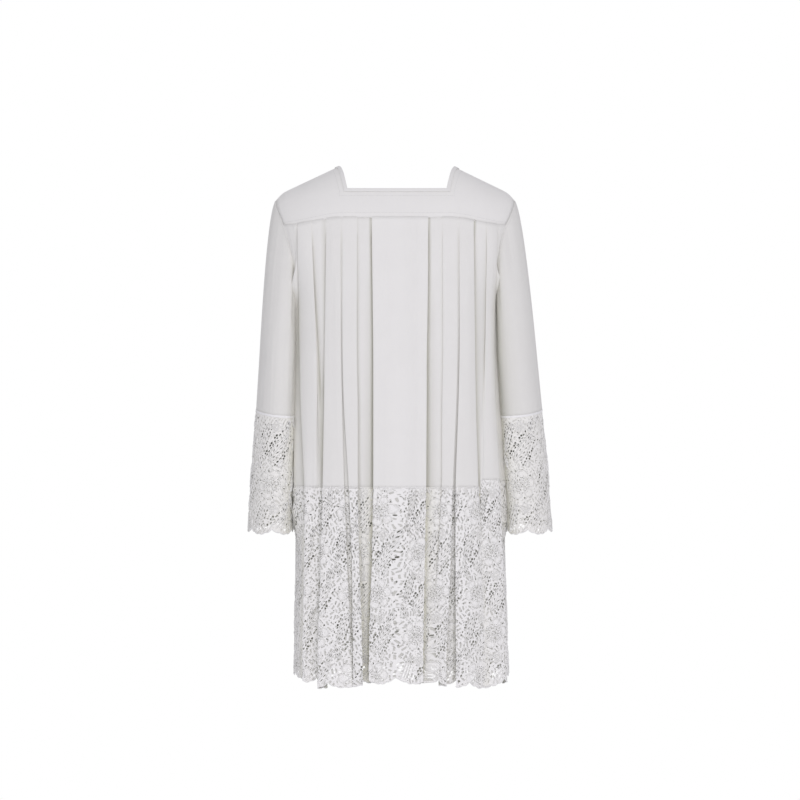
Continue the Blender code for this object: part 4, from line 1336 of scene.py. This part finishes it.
# Each of the largest gaps is two, with a bar of thread between them: where along it, and the
# shares of its length and width
gapParts = (-0.27, 0.44, 0.64), (0.24, 0.50, 0.72)
lensShape = rowsOf("along aside", (0.5, 0), (0.2, 0.5), (-0.25, 0.45), (-0.5, 0), (-0.2, -0.5), (0.25, -0.45))
diamondShape = rowsOf("along aside", (0.5, 0), (0, 0.5), (-0.5, 0), (0, -0.5))
# Blades are petals and leaves, from their base to their tip. fullness above 1 puts the widest
# place nearer the tip, and slits is the number of pairs of slits beside the middle
blades = rowsOf(
    "baseAcross baseUp tipAcross tipUp wide fullness slits",
    (-0.0060, 0.0440, 0.0300, 0.0980, 0.0165, 0.85, 5),
    (-0.0080, 0.1180, -0.0300, 0.0620, 0.0120, 0.85, 5),
    (0.0245, 0.1010, 0.0330, 0.1230, 0.0085, 0.90, 2),
    (-0.0240, 0.0340, -0.0330, 0.0560, 0.0085, 0.90, 2),
    (0.0130, 0.0330, 0.0190, 0.0460, 0.0062, 0.95, 0),
)
flowers = rowsOf(
    "across up petals inner outer wide start fullness",
    (0.0, 0.0, 6, 0.0070, 0.0285, 0.0178, 12, 1.75),
    (0.0070, 0.1105, 5, 0.0026, 0.0105, 0.0078, 30, 1.5),
)
# Small holes inside the large flower's ring, and larger ones between the tips of its petals
flowerHole = rowsOf(
    "radius long wide",
    (0.0034, 0.0021, 0.0015),
    (0.0262, 0.0048, 0.0022),
)
bladeForm = dict(power=0.72, step=0.0032, fewest=5, most=13, moatPoints=24, aside=0.012, past=0.01)
leafSlits = dict(start=0.12, reach=0.80, gap=0.12, long=0.76, near=0.30, far=0.62, off=0.0002)
leafBellies = (0.45, 0.0010), (0.55, -0.0009)  # a slit's two sides: how far along, how far out
petalSlits = dict(places=(-0.5, 0.0, 0.5), low=(0.26, 0.42), high=(0.38, 0.52), draw=0.06, thin=0.0007)
petalEnds = 0.8, 1.15
cordRings = rowsOf(
    "across up radius corners",
    (0.0, 0.0, 0.0055, 14),
    (0.0, 0.0, 0.0012, 6),
    (0.0070, 0.1105, 0.0022, 8),
)
stems = rowsOf(
    "fromAcross fromUp viaAcross viaUp toAcross toUp",
    (0.0000, 0.0290, 0.0020, 0.0380, -0.0060, 0.0440),
    (0.0050, 0.1010, 0.0030, 0.1120, -0.0080, 0.1180),
    (0.0080, 0.1200, 0.0120, 0.1260, 0.0050, 0.1290),
    (0.0300, 0.0980, 0.0300, 0.1050, 0.0245, 0.1010),
    (-0.0240, 0.0340, -0.0200, 0.0280, -0.0140, 0.0260),
    (-0.0300, 0.0620, -0.0360, 0.0600, -0.0330, 0.0560),
)
net = dict(
    across=10,
    up=34,
    share=0.25,
    long=(0.0040, 0.0066),
    wide=(0.0012, 0.0018),
    turn=(0.9, 0.9, 0.8),  # the mean slant, and how much it sways across and up
    sway=0.4,
    apart=0.0010,
    stray=0.0010,
    margin=0.0014,
    seed=7,
)
moat = dict(away=0.0018, pitch=0.0066, long=0.0050, wide=0.0011, apart=0.0011, ahead=0.0003)
ribs = dict(start=0.1, end=0.9, count=6, cordEnd=0.95, cordCount=10, stemCount=7)
spare = dict(strings=0.0012, slits=0.0009, ribs=0.0006)
cord = dict(
    wide=0.0016,
    high=0.0012,
    lift=0.0003,
    hemRadius=0.0011,
    hemFlat=0.8,
    hemLift=0.0003,
    hemStep=0.001,  # how far aside the place is that gives its direction
)


def wayOf(turn):
    return np.stack([np.cos(turn), np.sin(turn)], axis=-1)


def leftOf(ways):
    return np.stack([-ways[..., 1], ways[..., 0]], axis=-1)


def bladeRows():
    # The leaves and, turned round each flower's middle, its petals
    rows = dict(blades)
    for across, up, petals, inner, outer, wide, start, fullness in zip(*flowers.values()):
        way = wayOf(np.radians(start + np.arange(petals) * 360 / petals)).T
        base, tip = np.add([[across], [up]], way * inner), np.add([[across], [up]], way * outer)
        same = np.ones(int(petals))
        more = [*base, *tip, same * wide, same * fullness, same * (-3 if outer > 0.02 else 0)]
        rows = {name: np.append(rows[name], values) for name, values in zip(rows, more)}
    return rows


bladeTable = bladeRows()
bladeBase = np.column_stack([bladeTable["baseAcross"], bladeTable["baseUp"]])
bladeTip = np.column_stack([bladeTable["tipAcross"], bladeTable["tipUp"]])
bladeLength = np.linalg.norm(bladeTip - bladeBase, axis=1)
bladeWay = unit(bladeTip - bladeBase)
bladeAside = leftOf(bladeWay)


def bladeHalf(number, share):
    # Half of a blade's width: a sine of its length, drawn towards the tip by fullness
    wide, fullness = bladeTable["wide"][number], bladeTable["fullness"][number]
    return wide / 2 * np.sin(np.pi * np.clip(share, 0, 1) ** fullness) ** bladeForm["power"]


def onBlade(number, share, aside):
    share, aside = np.asarray(share)[..., None], np.asarray(aside)[..., None]
    return bladeBase[number] + bladeWay[number] * bladeLength[number] * share + bladeAside[number] * aside


def bladeOutline(number, points):
    # Up one side and down the other
    share = (1 - np.cos(np.linspace(0, math.pi, points + 1))) / 2
    left, right = (onBlade(number, share, side * bladeHalf(number, share)) for side in (1, -1))
    return np.vstack([left, right[-2:0:-1]])


def bladePoints(number):
    steps = round(bladeLength[number] / bladeForm["step"])
    return int(np.clip(steps, bladeForm["fewest"], bladeForm["most"]))


def slitCorners(number, shares, asides):
    return np.stack([onBlade(number, share, aside) for share, aside in zip(shares, asides)], axis=1)


def slitsOfLeaf(number, count):
    # Pairs that slant from near the middle out towards the edge
    pitch = leafSlits["reach"] / count
    low = leafSlits["start"] + pitch * (np.arange(count) + leafSlits["gap"])
    high = low + pitch * leafSlits["long"]
    near = leafSlits["near"] * bladeHalf(number, low) + leafSlits["off"]
    far = leafSlits["far"] * bladeHalf(number, high)
    (first, firstOut), (second, secondOut) = leafBellies
    shares = low, mix(low, high, first), high, mix(low, high, second)
    asides = near, mix(near, far, first) + firstOut, far, mix(near, far, second) + secondOut
    return [slitCorners(number, shares, [side * aside for aside in asides]) for side in (1, -1)]


def slitsOfPetal(number):
    # Slim ones along the petal's length
    found = []
    for place in petalSlits["places"]:
        low, high = (np.array(petalSlits[end]) - petalSlits["draw"] * abs(place) for end in ("low", "high"))
        middle = mix(low, high, 0.5)
        aside = place * bladeHalf(number, middle)
        left, right = aside - petalSlits["thin"], aside + petalSlits["thin"]
        asides = aside * petalEnds[0], left, aside * petalEnds[1], right
        found.append(slitCorners(number, (low, middle, high, middle), asides))
    return found


def bladeSlits():
    found = []
    for number, slits in enumerate(bladeTable["slits"].astype(int)):
        if slits:
            found += slitsOfLeaf(number, slits) if slits > 0 else slitsOfPetal(number)
    return np.concatenate(found)


def facingUp(shapes):
    # Outlines with their corners counted anticlockwise
    after = np.roll(shapes, -1, axis=1)
    area = (shapes[..., 0] * after[..., 1] - after[..., 0] * shapes[..., 1]).sum(axis=1)
    return np.where((area < 0)[:, None, None], shapes[:, ::-1], shapes)


def cutShapes(shape, middles, turn, long, wide):
    # At each middle, the shape's along by the length and its aside by the width, turned
    way = wayOf(turn)[:, None]
    long, wide = (np.broadcast_to(size, turn.shape)[:, None, None] for size in (long, wide))
    along, aside = shape["along"][:, None] * long, shape["aside"][:, None] * wide
    return middles[:, None] + way * along + leftOf(way) * aside


def largeGaps():
    turn, long, wide = np.radians(laceGaps["turn"]), laceGaps["long"], laceGaps["wide"]
    found = []
    for place, lengths, widths in gapParts:
        middles = np.column_stack([laceGaps["across"], laceGaps["up"]])
        middles = middles + wayOf(turn) * (long * place)[:, None]
        found.append(cutShapes(lensShape, middles, turn, long * lengths, wide * widths))
    return found


def stringGaps():
    found = []
    for fromAcross, fromUp, toAcross, toUp, count, long, wide in zip(*gapStrings.values()):
        share = ((np.arange(count) + 0.5) / count)[:, None]
        start, end = np.array([fromAcross, fromUp]), np.array([toAcross, toUp])
        turn = np.full(int(count), math.atan2(*(end - start)[::-1]))
        found.append(cutShapes(lensShape, mix(start, end, share), turn, long, wide))
    return np.concatenate(found)


def flowerHoles():
    inner, outer = flowerHole["radius"]
    petals = int(flowers["petals"][0])
    six = np.radians(np.arange(6) * 60)
    between = np.radians(flowers["start"][0] + (np.arange(petals) + 0.5) * 360 / petals)
    long, wide = flowerHole["long"], flowerHole["wide"]
    return [
        cutShapes(lensShape, wayOf(six) * inner, six + math.pi / 2, long[0], wide[0]),
        cutShapes(lensShape, wayOf(between) * outer, between, long[1], wide[1]),
    ]


def insideOutlines(points, outlines):
    # Counts the crossings of a level line from each point with each outline
    inside = np.zeros(len(points), bool)
    x, y = points[:, :1], points[:, 1:]
    for start in outlines:
        end = np.roll(start, -1, axis=0)
        spans = (start[:, 1] > y) != (end[:, 1] > y)
        rise = np.where(end[:, 1] == start[:, 1], 1e-12, end[:, 1] - start[:, 1])
        meets = x < start[:, 0] + (y - start[:, 1]) * (end[:, 0] - start[:, 0]) / rise
        inside |= (spans & meets).sum(axis=1) % 2 == 1
    return inside


def neighbourShifts():
    # Where the flowers round a flower stand
    steps = [(column, row + 0.5 * (column % 2)) for column in (-2, -1, 0, 1, 2) for row in (-2, -1, 0, 1)]
    return np.array(steps) * (laceFlat["across"], laceFlat["up"])


def closedPath(outline):
    return np.vstack([outline, outline[:1]])


def moatGaps():
    # Slim gaps that follow the outline of each leaf and petal, a little outside it
    middles, turns = [], []
    for number in range(len(bladeLength)):
        outline = closedPath(bladeOutline(number, bladeForm["moatPoints"]))
        girth = arcLength(outline)[-1]
        count = int(girth / moat["pitch"])
        places = (np.arange(count) + 0.5) / count * girth
        here, ahead = alongPath(outline, places), alongPath(outline, places + moat["ahead"])
        along = unit(ahead - here)
        aside = -leftOf(along)
        aside = aside * np.sign(((here - onBlade(number, 0.5, 0)) * aside).sum(axis=1, keepdims=True))
        middles.append(here + aside * moat["away"])
        turns.append(np.arctan2(along[:, 1], along[:, 0]))
    return np.concatenate(middles), np.concatenate(turns)


def netGaps():
    # Short strokes on a lattice that drops by half, stirred a little. Their slant turns slowly,
    # by sines that repeat with the flowers
    column, row = np.meshgrid(np.arange(net["across"]), np.arange(net["up"]))
    step = np.array([laceFlat["across"], laceFlat["up"]])
    spots = np.column_stack([(column + 0.5 * (row % 2)).ravel(), row.ravel()])
    spots = spots * step / (net["across"], net["up"])
    stir = np.random.default_rng(net["seed"])
    spots = spots + stir.uniform(-1, 1, spots.shape) * net["stray"]
    across, drop = spots[:, 0] / step[0], spots[:, 1] / step[1] - spots[:, 0] / step[0] / 2
    mean, acrossSway, upSway = net["turn"]
    turn = mean + acrossSway * np.sin(2 * np.pi * across) + upSway * np.cos(2 * np.pi * drop)
    turn = turn + stir.uniform(-net["sway"], net["sway"], len(spots))
    long, wide = (stir.uniform(*net[name], len(spots)) for name in ("long", "wide"))
    kept = stir.random(len(spots)) < net["share"]
    return spots[kept], turn[kept], long[kept], wide[kept]


def farFrom(shapes, others, apart):
    # Whether each shape's corners and middle lie further than apart from all the others' in the
    # repeat, which goes on in every direction
    inner = np.concatenate([shapes, shapes.mean(axis=1, keepdims=True)], axis=1)
    free = np.ones(len(shapes), bool)
    for part in np.array_split(others, max(1, len(others) // 1500)):
        away = inner[:, :, None] - part
        columns = np.round(away[..., 0] / laceFlat["across"])
        away[..., 0] -= columns * laceFlat["across"]
        away[..., 1] -= columns * laceFlat["up"] / 2
        away[..., 1] -= np.round(away[..., 1] / laceFlat["up"]) * laceFlat["up"]
        free &= np.linalg.norm(away, axis=3).min(axis=(1, 2)) > apart
    return free


def withMiddles(shapes):
    return np.concatenate([shapes.reshape(-1, 2), shapes.mean(axis=1)])


def addApart(kept, shapes, apart):
    # Each shape that lies far enough from all that are there, and then counts as one of them
    chosen = []
    for shape in shapes[:, None]:
        if farFrom(shape, kept, apart)[0]:
            kept = np.concatenate([kept, withMiddles(shape)])
            chosen.append(shape)
    return kept, np.concatenate(chosen)


def makePattern():
    # Everything in one repeat: holes of four and of six corners, outlines, and ribs along them
    numbers = range(len(bladeLength))
    outlines = [bladeOutline(number, bladePoints(number)) for number in numbers]
    six = np.concatenate([*largeGaps(), *flowerHoles()])
    lasting = len(six)
    strings = stringGaps()
    six = np.concatenate([six, strings[farFrom(strings, withMiddles(six), spare["strings"])]])
    slits = bladeSlits()
    slits = slits[farFrom(slits, withMiddles(six), spare["slits"])]
    cut = np.concatenate([withMiddles(six), withMiddles(slits)])
    around = [outline + shift for outline in outlines for shift in neighbourShifts()]
    rounds = [closedPath(outline) for outline in outlines]
    edges = np.concatenate([alongPath(line, np.linspace(0, 1, 40) * arcLength(line)[-1]) for line in rounds])
    middles, turns = moatGaps()
    moats = cutShapes(diamondShape, middles, turns, moat["long"], moat["wide"])
    moats = moats[~insideOutlines(middles, around)]
    spots, *sizes = netGaps()
    strokes = cutShapes(diamondShape, spots, *sizes)
    strokes = strokes[~insideOutlines(spots, around) & farFrom(strokes, edges, net["margin"])]
    kept, moats = addApart(cut, moats, moat["apart"])
    kept, strokes = addApart(kept, strokes, net["apart"])
    print(f"lace repeat: {len(six)} lenses, {len(slits) + len(moats) + len(strokes)} smaller gaps")
    middle = np.linspace(ribs["start"], ribs["end"], ribs["count"])
    spots = np.concatenate([onBlade(number, middle, 0 * middle) for number in numbers])
    spots = spots[farFrom(spots[:, None], cut, spare["ribs"])]
    four = facingUp(np.concatenate([slits, moats, strokes]))
    return dict(six=facingUp(six), lasting=lasting, four=four, outlines=outlines, ribs=spots)


pattern = makePattern()


def edgeHeight(edge, across, width, base):
    # The lower edge: large half sines to a power, with small ones along them
    count = round(width / edge["pitch"])
    large = np.abs(np.sin(np.pi * across * count / width)) ** edge["power"]
    small = np.abs(np.sin(np.pi * across * count * edge["small"] / width))
    return base - edge["depth"] * large - edge["smallDepth"] * small


def repeatPlaces(first, step, low, high, width):
    # (across, up) of every flower that can matter to a piece
    most = math.ceil(max(width / step, (high - low) / laceFlat["up"])) + 2
    column, row = np.meshgrid(np.arange(-most, most), np.arange(-2, most))
    up = first[1] + (row + 0.5 * (column % 2)) * laceFlat["up"]
    places = np.stack([first[0] + column * step, up], axis=-1).reshape(-1, 2)
    across, up = places.T
    beside, above = laceFlat["around"], laceFlat["flowerHeight"]
    near = (across > -beside) & (across < width + beside) & (up > low - above) & (up < high + beside)
    return places[near]


def repeated(lace, shapes):
    # A repeat's points at every place on a piece of lace
    places = lace["places"].reshape(-1, *[1] * (shapes.ndim - 1), 2)
    return places + shapes * (lace["stretch"], 1)


def inLace(lace, points, low, high, beside):
    # Whether points lie inside a piece's outline by these margins
    x, y = points[..., 0], points[..., 1]
    upright = (y - lace["bottom"](x) > low) & (lace["top"](x) - y > high)
    return upright & (x > beside) & (x < lace["width"] - beside)


def blanket(points, lace):
    # How far inside a petal or leaf each point lies, 0 at its outline and 1 at its middle line,
    # how far along it, and the distance inside
    cover, along, within = np.zeros(len(points)), np.zeros(len(points)), np.full(len(points), -1.0)
    for number in range(len(bladeLength)):
        for place in lace["places"]:
            local = (points - place) / (lace["stretch"], 1) - bladeBase[number]
            near = np.abs(local).max(axis=1) < bladeLength[number] + bladeForm["aside"]
            local = local[near]
            share = local @ bladeWay[number] / bladeLength[number]
            half = bladeHalf(number, share)
            aside = np.abs(local @ bladeAside[number])
            reached = np.abs(share - 0.5) < 0.5 + bladeForm["past"]
            within[near] = np.maximum(within[near], np.where(reached, half - aside, -1.0))
            inside = 1 - aside / np.maximum(half, 1e-6)
            inside = np.where((share > 0) & (share < 1), np.clip(inside, 0, 1), 0)
            better = inside > cover[near]
            spot = np.flatnonzero(near)[better]
            cover[spot], along[spot] = inside[better], share[better] * bladeLength[number]
    return cover, along, within


def liftOf(flats, lace):
    # Leaves and petals are low domes with ribs across them
    cover, along, within = blanket(flats, lace)
    dome = np.sqrt(np.clip(cover, 0, 1))
    wave = laceFlat["rib"] * dome * np.cos(along * 2 * math.pi / laceFlat["ribPitch"])
    return laceFlat["relief"] * dome + wave, within


def openHoles(lace):
    # The holes of four and of six corners that fit, without the small ones down in the folds
    found = []
    for shapes, lasting in ((pattern["four"], 0), (pattern["six"], pattern["lasting"])):
        holes = repeated(lace, shapes).reshape(-1, *shapes.shape[1:])
        fits = inLace(lace, holes, *laceFlat["holeMargins"]).all(axis=1)
        stays = np.tile(np.arange(len(shapes)) < lasting, len(lace["places"]))
        shallow = lace["deepAt"](*holes.mean(axis=1).T) < laceFlat["closeAt"]
        found.append(holes[fits & (stays | shallow)])
    return found


def flatLace(lace):
    # The pattern inside a piece's outline, in triangles, without its holes
    width, bottom, top, levels = (lace[name] for name in ("width", "bottom", "top", "levels"))
    lower = np.linspace(0, width, round(width / laceFlat["edgeStep"]) + 1)
    upper = np.linspace(width, 0, round(width / laceFlat["topStep"]) + 1)
    outline = np.vstack([np.column_stack([lower, bottom(lower)]), np.column_stack([upper, top(upper)])])
    points, faces, edges = [outline], [np.arange(len(outline)).tolist()], []

    def numbered(shapes):
        # Adds their points, and gives the points' numbers
        first = sum(map(len, points))
        points.append(shapes.reshape(-1, 2))
        return first + np.arange(len(points[-1])).reshape(shapes.shape[:-1])

    for holes in openHoles(lace):
        faces += numbered(holes).tolist()
    for shape in pattern["outlines"]:
        motifs = repeated(lace, shape)
        number = numbered(motifs[inLace(lace, motifs, *laceFlat["motifMargins"]).all(axis=1)])
        edges += np.stack([number, np.roll(number, -1, axis=1)], axis=-1).reshape(-1, 2).tolist()
    spots = repeated(lace, pattern["ribs"]).reshape(-1, 2)
    numbered(spots[inLace(lace, spots, *laceFlat["motifMargins"])])
    for across in lace["firm"]:
        low, high = (edge(np.array([across]))[0] for edge in (bottom, top))
        number = numbered(np.column_stack([np.full(levels, across), np.linspace(low, high, levels)]))
        edges += np.column_stack([number[:-1], number[1:]]).tolist()
    corners = [Vector(point) for point in np.concatenate(points).tolist()]
    flat, _, cells, _, _, sources = delaunay_2d_cdt(corners, edges, faces, 0, 1e-7, True)
    flat = np.array([(point.x, point.y) for point in flat])
    kept = np.array([cell for cell, source in zip(cells, sources) if source == [0]])
    used = np.unique(kept)
    print(f"  {len(faces) - 1} holes, {len(kept)} triangles")
    return flat[used], np.searchsorted(used, kept)


def cordPaths():
    # The raised lines of one repeat, each with its first point again where it is closed
    paths = [closedPath(outline) for outline in pattern["outlines"]]
    middle = np.linspace(0, ribs["cordEnd"], ribs["cordCount"])
    paths += [onBlade(number, middle, 0 * middle) for number in np.flatnonzero(bladeTable["slits"] > 0)]
    step = np.linspace(0, 1, ribs["stemCount"])[:, None]
    for row in zip(*stems.values()):
        start, via, end = np.reshape(row, (3, 2))
        paths.append((1 - step) ** 2 * start + 2 * step * (1 - step) * via + step**2 * end)
    for across, up, radius, corners in zip(*cordRings.values()):
        paths.append(wayOf(np.linspace(0, 2 * math.pi, int(corners) + 1)) * radius + (across, up))
    return paths


def laceCords(lace):
    # Each raised line is a low ridge: two strips from its sides up to its middle
    flats, outs, faces, total = [], [], [], 0
    for path in cordPaths():
        along = unit(np.gradient(path, axis=0))
        if np.allclose(path[0], path[-1]):
            along[0] = along[-1] = unit(path[1] - path[-2])
        aside = leftOf(along) * cord["wide"] / 2
        strips = repeated(lace, np.stack([path - aside, path, path + aside], axis=1))
        fits = inLace(lace, strips[:, :, 1], *laceFlat["cordMargins"])
        both = fits[:, :-1] & fits[:, 1:]
        number = total + np.arange(strips[..., 0].size).reshape(strips.shape[:3])
        total += number.size
        before, after = number[:, :-1], number[:, 1:]
        for side in (0, 1):
            corners = before[..., side], before[..., side + 1], after[..., side + 1], after[..., side]
            faces.append(np.stack(corners, axis=-1)[both])
        flats.append(strips.reshape(-1, 2))
        outs.append(np.tile(np.array([0.0, cord["high"], 0.0]) + cord["lift"], number.size // 3))
    flats, outs, faces = map(np.concatenate, (flats, outs, faces))
    used = np.unique(faces)
    flats, outs, faces = flats[used], outs[used], np.searchsorted(used, faces)[:, ::-1]
    points, _ = lace["place"](*flats.T, outs + liftOf(flats, lace)[0])
    return newPiece(lace["name"] + "Cords", points, faces, cordMaterial, flats, sharp=80)


def hemCord(lace):
    # A round cord along the scalloped edge
    across = np.linspace(0, lace["width"], round(lace["width"] / laceFlat["edgeStep"]) + 1)
    flat = np.column_stack([across, lace["bottom"](across)])
    aside = leftOf(unit(np.gradient(flat, axis=0)))
    out = np.full(len(flat), cord["hemLift"])
    points, normals = lace["place"](*flat.T, out)
    beside, _ = lace["place"](*(flat + aside * cord["hemStep"]).T, out)
    profile = wayOf(np.radians(np.arange(6) * 60)) * (1, cord["hemFlat"]) * cord["hemRadius"]
    return carried(lace["name"] + "Edge", points, unit(beside - points), normals, profile, cordMaterial)


def layLace(lace, first, step, *nodes):
    # The ground and its cords, as two pieces
    width, bottom, top = lace["width"], lace["bottom"], lace["top"]
    low, high = bottom(np.linspace(0, width, 200)).min(), top(np.linspace(0, width, 50)).max()
    lace["stretch"] = step / laceFlat["across"]
    lace["places"] = repeatPlaces(first, step, low, high, width)
    flat, faces = flatLace(lace)
    lift, within = liftOf(flat, lace)
    points, _ = lace["place"](*flat.T, lift)
    ground = newPiece(lace["name"], points, faces, laceMaterial, flat, sharp=60)
    heading = ease((flat[:, 1] - top(flat[:, 0])) / laceFlat["heading"] + laceFlat["headingSpread"])
    addMask(ground, "dense", np.maximum(ease(within / laceFlat["denseEdge"] + 1.0), heading))
    addMask(ground, "deep", lace["deepAt"](*flat.T))
    cords = joined(lace["name"] + "Cords", [laceCords(lace), hemCord(lace)])
    return settled(ground, "white_lace", *nodes), settled(cords, "white_lace")


def bodyLace(panel):
    form = forms[panel["name"]]
    width, coarse = form["across"][-1], form["coarse"]
    hem = atFolds(pleatForm["hem"], hemEdge["side"])

    def top(across):
        return laceTop(form, across) + laceFlat["lap"]

    def bottom(across):
        return edgeHeight(hemEdge, across, width, np.interp(across, coarse, hem))

    def place(across, height, out):
        lapped = ease((height - top(across)) / laceFlat["heading"] + laceFlat["lapSpread"])
        return onForm(form, across, height, out + laceFlat["lapOut"] * lapped)

    def deepAt(across, height):
        return next(between(form, [form["deep"][..., None]], across, height))[..., 0]

    # The columns at which the cloth turns sharply, low down
    steps = unit(np.diff(form["points"][60:, :, :2], axis=1))
    bend = np.degrees(np.arccos(np.clip((steps[:, :-1] * steps[:, 1:]).sum(axis=2), -1, 1))).max(axis=0)
    firm = form["across"][1:-1][bend > laceFlat["firmTurn"]]
    lace = dict(name=f"lace{panel['name'].title()}", width=width, place=place, top=top, bottom=bottom)
    lace.update(deepAt=deepAt, firm=firm, levels=laceFlat["bodyLevels"])
    first = coarse[foldColumns()[pleat["boxEdge"]]] + laceFlat["fromBox"], hem.min() + laceFlat["aboveHem"]
    return layLace(lace, first, laceFlat["across"], f"{panel['name']}_lace")


def cuffForm(side):
    # Rings of the sleeve's oval, with distances across measured as on the solids' 24-sided ring
    turns, coarse = (roundTurns(side, sleeveShape[count]) for count in ("columns", "coarse"))
    along = arcLength(np.column_stack(sleeveOval(side, cuffRings["ruler"], coarse)))
    across = np.interp(np.abs(turns - turns[0]), np.abs(coarse - coarse[0]), along)
    heights = -np.linspace(*cuffRings["rows"])
    x, y = sleeveOval(side, heights[:, None], turns)
    form = makeForm(np.stack([x, y, np.tile(heights[:, None], (1, len(turns)))], axis=-1), heights, across)
    closeNormals(form["normals"])
    form["turns"] = turns
    return form


def cuffLace(side):
    form = cuffForm(side)
    width = form["across"][-1]

    def turnOf(across):
        return np.interp(across, form["across"], form["turns"])

    def top(across):
        return ringHeight(cuffSeam, turnOf(across))

    def bottom(across):
        return edgeHeight(cuffEdge, across, width, ringHeight(cuffHem, turnOf(across)))

    # Painted shade, darker towards the cuff's inner side; past closeAt it also closes small holes
    def deepAt(across, height):
        outer, more = laceFlat["cuffPaintedShade"]
        return outer + more * ease(-np.cos(turnOf(across)))

    def place(across, height, out):
        return onForm(form, across, height, out)

    lace = dict(name=f"laceCuff{side.title()}", width=width, place=place, top=top, bottom=bottom)
    lace.update(deepAt=deepAt, firm=form["across"][4:-4:4], levels=laceFlat["cuffLevels"])
    # The flowers count from where the back half starts, which is at the inner side on the right
    start = 0 if side == "left" else width / 2
    first = start + laceFlat["inCuff"], cuffHem["height"] - cuffEdge["depth"] + laceFlat["aboveHem"]
    nodes = [f"cuff_lace_{side}_{half}" for half in ("back", "front")]
    return layLace(lace, first, width / 2 / laceFlat["cuffColumns"], *nodes)


laces = {panel["name"]: bodyLace(panel) for panel in panels}
cuffs = {side: cuffLace(side) for side in sides}
print("lace is laid")


# Sewing

stitch = dict(pitch=0.0026, long=0.0019, radius=0.00026, sink=0.00005, thickFrom=0.22, thickTo=0.78)
# Where the rows of stitches run: round the neck, so many binding widths from its edge; down the
# yoke, as shares of the way to its seams; at a row of the sleeve; and below the lace's top
seams = dict(
    neck=2.3,
    yoke=(0.955, -0.96),
    yokeReach=0.985,
    sleeveRow=4,
    laceInset=0.002,
    laceBelow=0.0012,
    laceOut=0.0001,
)


def stitches(name, path, normals, closed=False):
    # One small spindle of thread after another along a path: two points and two rings of four
    if closed:
        path, normals = closedPath(path), closedPath(normals)
    length = arcLength(path)
    count = int(length[-1] / stitch["pitch"])
    places = (np.arange(count) + 0.5) * length[-1] / count
    start, end = (alongPath(path, places + half * stitch["long"] / 2) for half in (-1, 1))
    outward = unit(np.stack([np.interp(places, length, normals[:, axis]) for axis in range(3)], axis=-1))
    aside = unit(np.cross(unit(end - start), outward))
    turn = np.radians(np.arange(4) * 90)[:, None, None]
    ring = (np.cos(turn) * aside + np.sin(turn) * outward).transpose(1, 0, 2) * stitch["radius"]
    low, high = (mix(start, end, stitch[share])[:, None] + ring for share in ("thickFrom", "thickTo"))
    points = np.concatenate([start[:, None], low, high, end[:, None]], axis=1)
    points = (points - outward[:, None] * stitch["sink"]).reshape(-1, 3)
    here, after = np.arange(4), np.roll(np.arange(4), -1)
    faces = np.vstack([
        np.column_stack([0 * here, 1 + here, 1 + after]),
        np.column_stack([1 + here, 5 + here, 5 + after]),
        np.column_stack([1 + here, 5 + after, 1 + after]),
        np.column_stack([0 * here + 9, 5 + after, 5 + here]),
    ])
    faces = (faces + 10 * np.arange(count)[:, None, None]).reshape(-1, 3)
    return newPiece(name, points, faces[:, ::-1], threadMaterial, points[:, [0, 2]], sharp=80)


def yokeStitches(name, places, closed=False):
    normals = yokeNormals(*places)
    return stitches(name, yokePoints(*places) + normals * yokeCut["wall"] / 2, normals, closed)


def yokeSewing():
    # A line round the neck where its facing is sewn down, and one above each seam
    lines = [yokeStitches("neckSewing", mix(*neckLoops(), seams["neck"]).T, closed=True)]
    across = np.linspace(seams["yokeReach"], -seams["yokeReach"], 160)
    lines += [yokeStitches("yokeSewing", (across, np.full(160, down))) for down in seams["yoke"]]
    return lines


def sleeveSewing(side):
    points = sleeveGrid(side, roundTurns(side, sleeveShape["columns"]))
    row = seams["sleeveRow"]
    path, normals = points[row, :-1], gridNormals(points)[row, :-1]
    lift = sleeveShape["wall"] / 2 + armholeWelt["high"] / 2
    return stitches("sleeveSewing", path + normals * lift, normals, closed=True)


def laceSewing(panel):
    form = forms[panel["name"]]
    across = np.linspace(seams["laceInset"], form["across"][-1] - seams["laceInset"], 700)
    height = laceTop(form, across) + laceFlat["lap"] - seams["laceBelow"]
    return stitches("laceSewing", *onForm(form, across, height, laceFlat["lapOut"] + seams["laceOut"]))


settled(joined("yokeSewing", yokeSewing()), "white_cloth")
settled(joined("armholeSewing", [sleeveSewing(side) for side in sides]), "white_cloth")
settled(joined("laceSewing", [laceSewing(panel) for panel in panels]), "white_lace")
print("sewing is done")


# Floor

floor = dict(height=-1.60, size=(5.2, 4.0), middle=(0.0, 0.45), points=9, cloud=3.0)
floorLook = dict(dark=(0.90, 0.90, 0.90), light=(0.94, 0.94, 0.94), roughness=0.9, sheen=0.0)


def addFloor():
    material, tree, shader, _ = newMaterial("paleFloor", floorLook["roughness"], floorLook["sheen"])
    place = addNode(tree, "TexCoord").outputs["Object"]
    cloud = addNode(tree, "TexNoise", {"Vector": place, "Scale": floor["cloud"]})
    color = blendColor(tree, cloud.outputs["Fac"], floorLook["dark"], floorLook["light"])
    tree.links.new(color, shader.inputs["Base Color"])
    (wide, deep), (x, y), count = floor["size"], floor["middle"], floor["points"]
    xs, ys = np.linspace(x - wide / 2, x + wide / 2, count), np.linspace(y + deep / 2, y - deep / 2, count)
    grid = np.stack([*np.meshgrid(xs, ys), np.full((count, count), floor["height"])], axis=-1)
    gridPiece("floor", grid, grid[..., :2], material)


addFloor()

# Each cuff's and each panel's lace, taken as its ground and its cords
for side in sides:
    ground, cords = cuffs[side]
for name, width in (("back", 0.917), ("front", 0.911)):
    ground, cords = laces[name]
